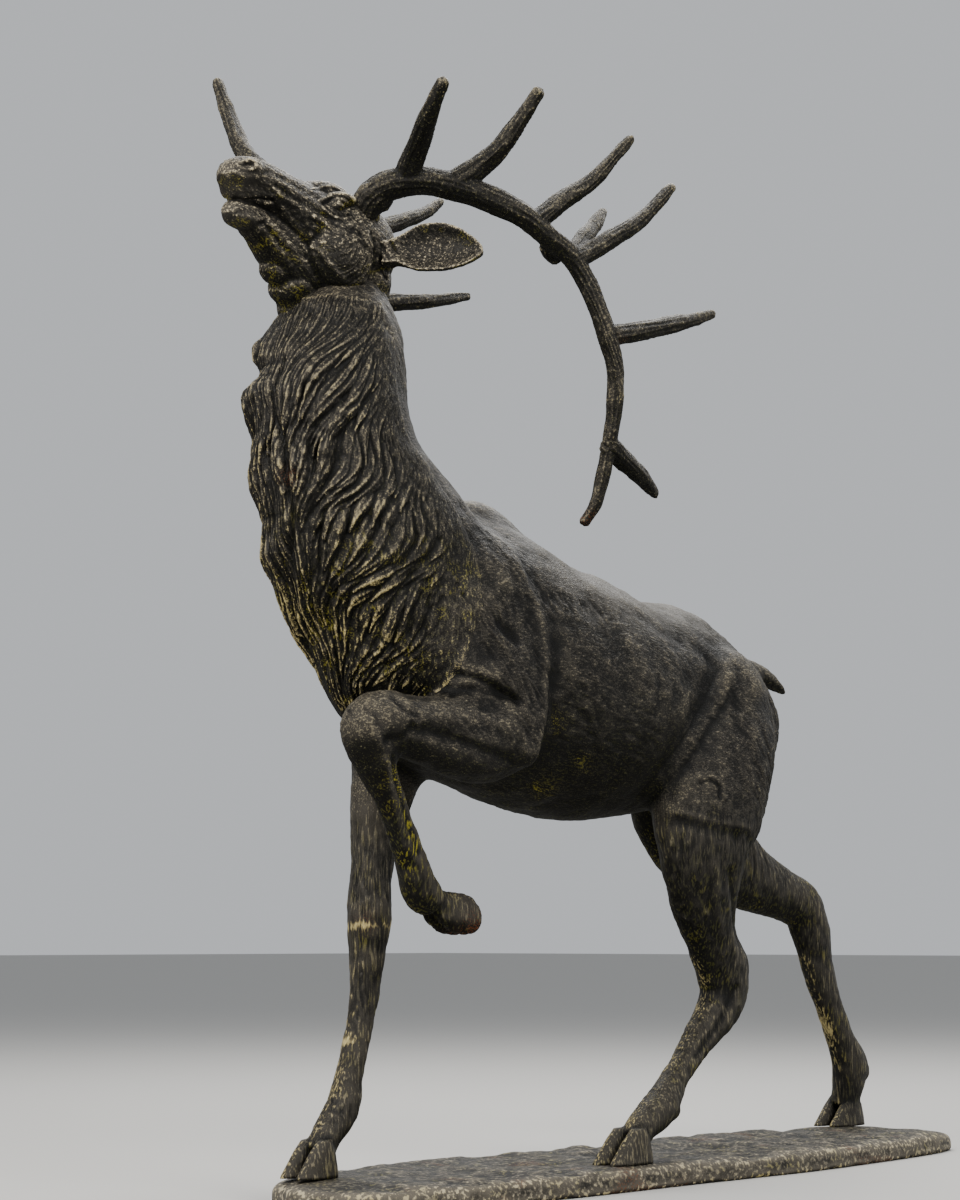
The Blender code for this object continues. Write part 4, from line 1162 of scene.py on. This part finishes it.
# %% The base
BASE_FRONT, BASE_BACK, BASE_HALF_WIDTH = -0.380, 1.560, 0.215
SQUARENESS = 3.6  # 2 would make the outline an ellipse
SLAB_RING = 180
PAD_RADIUS = 0.085  # the top stays level this far round a hoof
OUTLINE_WAVE = 0.05
LENGTH_SHARE = 0.97  # keeps the wavy outline within the two ends
SLAB_RINGS = (  # share of the outline, height from the top as a share of the whole height
    (0.995, -1.00), (1.0, -0.93), (1.0, -0.78), (1.0, -0.62), (1.0, -0.48), (0.997, -0.36), (0.988, -0.24),
    (0.972, -0.15), (0.950, -0.09), (0.925, -0.05), (0.890, -0.02), (0.85, 0.0), (0.40, 0.0),
)


def slab():
    """The slab, from rings that climb its edge and then run inwards over its top."""
    bm = bmesh.new()
    rings = []
    middle, half = (BASE_FRONT + BASE_BACK) / 2, (BASE_BACK - BASE_FRONT) / 2
    for share, depth in SLAB_RINGS:
        ring = bmesh.ops.create_circle(bm, segments=SLAB_RING, radius=1.0)["verts"]
        for v in ring:
            c, s = v.co.x, v.co.y
            squarish = (abs(c) ** SQUARENESS + abs(s) ** SQUARENESS) ** (-1 / SQUARENESS)
            out = share * squarish * (1 + OUTLINE_WAVE * noise.noise(Vector((2.2 * c, 2.2 * s, 7.0))))
            v.co = Vector((middle + half * c * out * LENGTH_SHARE, BASE_HALF_WIDTH * s * out, depth * GROUND))
        rings.append(ring)
    skin(bm, rings)
    return bm


ground = remeshed("ground_work", slab(), BASE_GRAIN)
p = relax(points_of(ground), edges_of(ground), 3)
pads = np.ones(len(p))
for toe_x, heel_x, y in STANDING_HOOVES:
    away = np.hypot(p[:, 0] - (toe_x + heel_x) / 2, p[:, 1] - y)
    pads = np.minimum(pads, fade(away, PAD_RADIUS * 0.9, PAD_RADIUS * 1.6))
above = fade(p[:, 2], -GROUND * 0.95, -GROUND * 0.4)
lumps = 0.010 * np.minimum(mottle(p, 0.16, 51), 0) + 0.0040 * mottle(p, 0.045, 53)
lumps += 0.0016 * mottle(p, 0.018, 55)
top = fade(p[:, 2], -GROUND * 0.30, -GROUND * 0.02)
p[:, 2] += np.minimum(lumps, 0.002) * top * pads
p[:, 2] += 0.002 * mottle(p, 0.05, 57) * above * (1 - top)
normals = shaped(ground, p)
flat_out = normals * np.array([1, 1, 0])
p += flat_out * (0.0022 * mottle(p, 0.030, 59) - 0.0015)[:, None] * above[:, None]
shaped(ground, p)
print("ground-work:", len(ground.data.polygons), "faces")

# %% [markdown]
# ## Moving the pieces and marking their surface
# Every piece now moves into the frame of the solids in one step. Then each vertex gets a few numbers that
# the finish will read: how far it stands out of its surroundings, so that ridges can be rubbed bright and
# hollows stay dark, how much moss, rubbed gilding, rust, polish or painted sheen it carries, and how far it
# looks down, which lays a painted shade under it. They are stored as attributes of the mesh.

# %% Surface marks
FULL_CREST, FULL_SWELL = 0.0011, 0.0045  # how far a point stands out where its mark is 1


def mark(obj, name, values):
    """Keeps one number for each vertex under a name that the finish can ask for."""
    attribute = obj.data.attributes.new(name, "FLOAT", "POINT")
    attribute.data.foreach_set("value", np.clip(values, -1, 1).astype(np.float32))


def placed(obj, node):
    """Moves a finished piece into the frame, smooths its shading and marks ridges and hollows."""
    obj.data.transform(Matrix.Translation(FROM_ELBOWS))
    obj.data.materials.clear()
    obj.data.shade_smooth()
    points, edges = points_of(obj), edges_of(obj)
    normals = shaped(obj, points)
    fine = ((points - relax(points, edges, 5)) * normals).sum(1)
    broad = ((points - relax(points, edges, 40)) * normals).sum(1)
    mark(obj, "crest", fine / FULL_CREST)
    mark(obj, "swell", broad / FULL_SWELL)
    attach(obj, "root")
    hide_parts(node)
    return points, normals


thinned(body, BODY_TRIANGLES)
marks = {}
for piece in (body, mane, head, antlers):
    marks[piece.name] = placed(piece, "stag")
marks[ground.name] = placed(ground, "ground_base")
print("placed:", sorted(marks))


# %% Moss, gilding, rust, polish, painted sheen and painted shade
def spot(points, where, size):
    """A soft round patch about a place given from the elbows."""
    centre = np.array(where) + np.array(FROM_ELBOWS)
    return np.exp(-((points - centre) ** 2).sum(1) / size**2)


BELLY_SPOTS = ((0.210, -0.155, 0.765, 0.018), (0.120, -0.160, 0.840, 0.022), (0.16, -0.10, 0.71, 0.026))
RAISED_SHIN = metres(((-325, -170, 730), (-225, -145, 560)))
LEG_RINGS = ((0.452, 0.9), (0.240, 0.5))  # gilding left round the right foreleg: height, strength
for piece in (body, mane, head, antlers, ground):
    points, normals = marks[piece.name]
    x, y, z = (points - np.array(FROM_ELBOWS)).T
    patchy = 0.5 + 0.5 * mottle(points, 0.07, 61)
    blotchy = fade(mottle(points, 0.022, 65), 0.05, 0.55)
    # facing down: painted shade under the body, and the sheltered undersides where moss grows and nothing is
    # rubbed bright
    shade_and_shelter = fade(-normals[:, 2], -0.10, 0.55)
    leg = 1 - fade(z, 0.55, 0.78)
    moss = shade_and_shelter * (0.30 + 0.5 * patchy) + 0.40 * leg * patchy
    lichen = 0.35 * leg * blotchy * patchy
    in_front = fade(0.4 * normals[:, 1] - normals[:, 0], 0.0, 1.0)
    gilt = (1 - fade(z, 0.20, 0.62)) * (0.3 + 0.7 * patchy) * in_front
    rust, polish_and_sheen = 0 * z, 0 * z
    if piece is body:
        # painted sheen: the back and rump lighter where they face up
        polish_and_sheen = fade(z, 1.00, 1.12) * fade(x, 0.08, 0.25) * fade(normals[:, 2], 0.1, 0.6)
        rust = 1.3 * spot(points, (-0.07, -0.12, 0.44), 0.030)
        rust += 0.4 * spot(points, (-0.15, 0.07, 0.46), 0.02)
        for *place, size in BELLY_SPOTS:
            lichen += spot(points, place, size) * (0.3 + 0.7 * blotchy)
        raised = nearness(points - np.array(FROM_ELBOWS), RAISED_SHIN, 0.026)
        lichen += 1.1 * raised * fade(mottle(points, 0.016, 67), -0.05, 0.35)
        for level, strength in LEG_RINGS:
            gilt += strength * np.exp(-((z - level) / 0.008) ** 2) * (x < -0.02) * (y > 0)
    if piece is mane:
        low = 1 - fade(z, 0.98, 1.24)
        moss, gilt = 0.15 + 0.6 * low * (0.4 + 0.6 * patchy), 0.16 + 0.30 * patchy + 0.20 * low
        lichen = 0.5 * low * blotchy
        rust = spot(points, (-0.462, -0.045, 1.243), 0.014)
    if piece is head:
        moss = 0.15 * patchy + 0.5 * shade_and_shelter * (1 - fade(z, 1.66, 1.74))
        lichen = 0.5 * shade_and_shelter * blotchy
        gilt = 0.30 * patchy + 0.45 * spot(points, (-0.395, -0.070, 1.690), 0.040) * (0.3 + 0.7 * blotchy)
        polish_and_sheen = 0.3 * fade(-x, 0.50, 0.56)
        # painted shadow under the upper lip, on the near side of the muzzle
        shade_and_shelter = np.maximum(shade_and_shelter, 0.9 * spot(points, (-0.560, -0.05, 1.765), 0.022))
    if piece is antlers:
        moss, gilt = 0.30 + 0.4 * shade_and_shelter * patchy, 0.35 * patchy
        rust = 0.8 * spot(points, (0.11, -0.25, 1.205), 0.022)
        rust += 0.5 * spot(points, (0.12, -0.32, 1.55), 0.018)
    if piece is ground:
        moss, gilt = 0.5 * patchy, 0.3 * patchy
        rust = fade(mottle(points, 0.05, 63), 0.5, 0.8) * 0.6
    slant = np.maximum(shoulder_of(x, z), fade(x, 0.55, 0.70))
    for name, values in (
        ("moss", moss), ("lichen", lichen), ("gilt", gilt), ("rust", rust), ("polish_and_sheen", polish_and_sheen),
        ("shade_and_shelter", shade_and_shelter), ("leg", leg_of(z)), ("slant", slant),
    ):
        mark(piece, name, np.clip(values, 0, 1))
print("marks:", sorted(a.name for a in body.data.attributes if a.data_type == "FLOAT"))

# %% [markdown]
# ## The iron
# Old painted iron is nearly black in its hollows, grey-brown on its skin, and rubbed to a dull ochre gold
# on every ridge that hands and weather reach. Layering the colours from the bottom up, each one let
# through by a mark of the mesh and broken up by a noise, gives the same history as the real surface:
# cast, painted, worn, weathered. Two layers paint light into the colour instead: a near-black painted
# shade on every face that looks down, and a painted sheen on the back where it faces up.

# %% Helpers for the finish
def node(tree, kind, inputs=(), **settings):
    """A shader node with its settings, and each input either linked or set."""
    fresh = tree.nodes.new(kind)
    for name, value in settings.items():
        setattr(fresh, name, value)
    for socket, value in inputs:
        if isinstance(value, bpy.types.NodeSocket):
            tree.links.new(value, fresh.inputs[socket])
        else:
            fresh.inputs[socket].default_value = value
    return fresh


def marked(tree, name):
    """One of the marks of the mesh."""
    return node(tree, "ShaderNodeAttribute", attribute_name=name).outputs["Fac"]


def maths(tree, operation, *values):
    """One step of arithmetic on patterns or numbers."""
    return node(tree, "ShaderNodeMath", list(enumerate(values)), operation=operation).outputs[0]


def total(tree, *terms):
    """The sum of several patterns, each given with its weight."""
    found = 0.0
    for value, weight in terms:
        found = maths(tree, "MULTIPLY_ADD", value, weight, found)
    return found


def mixed(tree, share, first, second):
    """The first pattern where share is 0 and the second where it is 1."""
    return node(tree, "ShaderNodeMix", [(0, share), (2, first), (3, second)]).outputs[0]


def ramp(tree, value, start, end, low=0.0, high=1.0):
    """Low at start, high at end, smooth between."""
    inputs = [("Value", value), ("From Min", start), ("From Max", end), ("To Min", low), ("To Max", high)]
    return node(tree, "ShaderNodeMapRange", inputs, interpolation_type="SMOOTHSTEP").outputs[0]


def grain(tree, scale, detail=3.0, stretch=(1, 1, 1), turn=(0, 0, 0)):
    """A noise on the piece's own coordinates, stretched and turned by a mapping."""
    place = node(tree, "ShaderNodeTexCoord").outputs["Object"]
    mapping = node(tree, "ShaderNodeMapping", [("Vector", place), ("Scale", stretch), ("Rotation", turn)])
    inputs = [("Vector", mapping.outputs[0]), ("Scale", scale), ("Detail", detail)]
    return node(tree, "ShaderNodeTexNoise", inputs).outputs[0]


def layered(tree, under, over, share):
    """The colour over, laid on what is under it, as thickly as share says."""
    if not isinstance(under, bpy.types.NodeSocket):
        under = (*under, 1.0)
    inputs = [(0, share), (6, under), (7, (*over, 1.0))]
    return node(tree, "ShaderNodeMix", inputs, data_type="RGBA").outputs[2]


# %% The iron finish
# near black: the dark of the hollows, and the painted shade laid on every face that looks down
HOLLOW_AND_SHADE = (0.0014, 0.0013, 0.0009)
SKIN = (0.0050, 0.0045, 0.0036)
WORN = (0.0400, 0.0350, 0.0270)
OCHRE = (0.175, 0.150, 0.098)
MOSS = (0.040, 0.041, 0.006)
LICHEN = (0.230, 0.200, 0.012)
GILT = (0.480, 0.390, 0.170)
RUST = (0.130, 0.036, 0.008)
# painted sheen on the upward faces of the back, and polish on the front of the muzzle
POLISH_AND_SHEEN = (0.075, 0.068, 0.057)


def iron(name, streak, lightness=1.0, rub=0.0, crest_share=0.6):
    """Layered old iron. The streak is the pattern of rubbed fur, and rub says how much of it is bare."""
    material = bpy.data.materials.new(name)
    material.use_nodes = True
    tree = material.node_tree
    shader = tree.nodes["Principled BSDF"]
    skin, worn, ochre = ([c * lightness for c in colour] for colour in (SKIN, WORN, OCHRE))
    shade_and_shelter, leg = marked(tree, "shade_and_shelter"), marked(tree, "leg")
    cloud = grain(tree, 7.0, 5.0)
    speckle = ramp(tree, grain(tree, 360.0, 1.5), 0.49, 0.68)
    stripe = ramp(tree, streak(tree), 0.46, 0.66)
    grit = mixed(tree, ramp(tree, leg, 0.0, 1.0, 0.5, 0.8), speckle, stripe)
    high = total(tree, (marked(tree, "crest"), crest_share), (marked(tree, "swell"), 0.35))
    tone = total(tree, (grit, 1.0), (high, 1.0), (cloud, 0.5))
    bare = total(tree, (high, 1.0), (grit, 1.1), (cloud, 0.30), (shade_and_shelter, -0.45), (leg, -0.22))
    gilded = total(tree, (marked(tree, "gilt"), 1.0), (grit, 0.55), (high, 0.60))
    mossy = maths(tree, "MULTIPLY", marked(tree, "moss"), ramp(tree, grit, 0.30, 0.80, 0.0, 0.8))
    spotted = maths(tree, "MULTIPLY", marked(tree, "lichen"), ramp(tree, grit, 0.20, 0.65, 0.0, 0.9))
    colour = skin
    for over, share in (
        (worn, ramp(tree, tone, 0.20, 1.20)),
        (HOLLOW_AND_SHADE, ramp(tree, high, -0.05, -0.50)),
        # painted shade: near black on every face that looks down
        (HOLLOW_AND_SHADE, maths(tree, "MULTIPLY", shade_and_shelter, 0.93)),
        (ochre, ramp(tree, bare, 0.80 - rub, 1.60 - rub, 0.0, 0.95)),
        (MOSS, mossy),
        (LICHEN, spotted),
        (GILT, ramp(tree, gilded, 0.90, 1.60, 0.0, 0.9)),
        (RUST, maths(tree, "MULTIPLY", marked(tree, "rust"), ramp(tree, speckle, 0.0, 0.8))),
        # painted sheen on the upward faces of the back, and polish on the front of the muzzle
        (POLISH_AND_SHEEN, maths(tree, "MULTIPLY", marked(tree, "polish_and_sheen"), 0.50)),
    ):
        colour = layered(tree, colour, over, share)
    tree.links.new(colour, shader.inputs["Base Color"])
    rough = total(tree, (ramp(tree, cloud, 0.3, 0.7, 0.50, 0.66), 1.0), (grit, -0.10), (shade_and_shelter, 0.35))
    tree.links.new(rough, shader.inputs["Roughness"])
    shader.inputs["Metallic"].default_value = 0.10
    shader.inputs["IOR"].default_value = 1.27
    bump = node(tree, "ShaderNodeBump", [("Height", grit), ("Strength", 0.6), ("Distance", 0.0020)])
    tree.links.new(bump.outputs[0], shader.inputs["Normal"])
    return material


def coat_streak(tree):
    """Fur strokes along the back, slanting on shoulder and haunch, and straight down on the legs."""
    back = grain(tree, 270.0, 2.0, (0.35, 1.0, 1.0), (0.0, math.radians(20), 0.0))
    slant = grain(tree, 270.0, 2.0, (0.35, 1.0, 1.0), (0.0, math.radians(55), 0.0))
    down = grain(tree, 250.0, 2.5, (1.0, 1.0, 0.12), (0.0, math.radians(-7), 0.0))
    return mixed(tree, marked(tree, "leg"), mixed(tree, marked(tree, "slant"), back, slant), down)


def even_streak(scale, stretch, turn=(0.0, 0.0, 0.0)):
    """One lie of the streaks for the whole piece."""
    return lambda tree: grain(tree, scale, 3.0, stretch, turn)


for piece, finish in (
    (body, iron("iron_coat", coat_streak, rub=-0.08, crest_share=0.35)),
    (mane, iron("iron_mane", even_streak(200.0, (1, 1, 0.35)), 1.15, 0.06, 0.75)),
    (head, iron("iron_head", even_streak(260.0, (0.35, 1, 1), (0.0, 0.4, 0.0)), 2.8, 0.18)),
    (antlers, iron("iron_antler", even_streak(260.0, (0.7, 0.7, 0.7)), rub=0.05)),
    (ground, iron("iron_ground", even_streak(120.0, (1, 1, 1)), lightness=3.0)),
):
    piece.data.materials.append(finish)
print("finishes:", [m.name for m in bpy.data.materials if m.name.startswith("iron_")])

# %% [markdown]
# ## Studio
# A pale floor and broad soft lamps stand in for a bright overcast day. The key lamp is high behind the
# animal's back, so the back and rump catch the light and the near flank keeps its dark modelling.

# %% Floor, lamps and camera
bm = bmesh.new()
bmesh.ops.create_grid(bm, x_segments=2, y_segments=2, size=60.0)
floor = made("studio_floor", bm)
pale = bpy.data.materials.new("pale_floor")
pale.use_nodes = True
pale.node_tree.nodes["Principled BSDF"].inputs["Base Color"].default_value = (0.42, 0.415, 0.40, 1.0)
pale.node_tree.nodes["Principled BSDF"].inputs["Roughness"].default_value = 0.95
floor.data.materials.append(pale)


def lamp(name, place, aim, size, power, colour):
    """A square lamp at a place, turned to shine on the aim."""
    light = bpy.data.lights.new(name, "AREA")
    light.size = size
    light.energy = power
    light.color = colour
    obj = bpy.data.objects.new(name, light)
    obj.location = place
    obj.rotation_euler = (Vector(aim) - Vector(place)).to_track_quat("-Z", "Y").to_euler()
    bpy.context.scene.collection.objects.link(obj)


lamp("sky_key", (1.8, 1.2, 5.0), (0.0, 0.0, 1.0), 4.5, 440, (1.0, 0.98, 0.95))
lamp("front_fill", (-4.5, -0.5, 3.4), (-0.3, 0.0, 1.2), 2.5, 260, (1.0, 0.97, 0.93))
lamp("near_fill", (-0.5, -5.0, 3.4), (0.1, 0.0, 0.9), 2.5, 190, (1.0, 0.98, 0.94))
world = bpy.data.worlds.new("overcast")
bpy.context.scene.world = world
world.use_nodes = True
world.node_tree.nodes["Background"].inputs["Color"].default_value = (0.93, 0.96, 1.0, 1.0)
world.node_tree.nodes["Background"].inputs["Strength"].default_value = 0.60

lens = bpy.data.cameras.new("camera")
lens.lens = 72.0
lens.sensor_width = 36.0
camera = bpy.data.objects.new("camera", lens)
camera.location = (-3.855, -3.194, 0.4695)
camera.rotation_euler = (math.radians(98.065), 0.0, math.radians(-46.368))
bpy.context.scene.collection.objects.link(camera)
bpy.context.scene.camera = camera
print("camera", round(camera.location.length, 2), "m from the middle of the base")
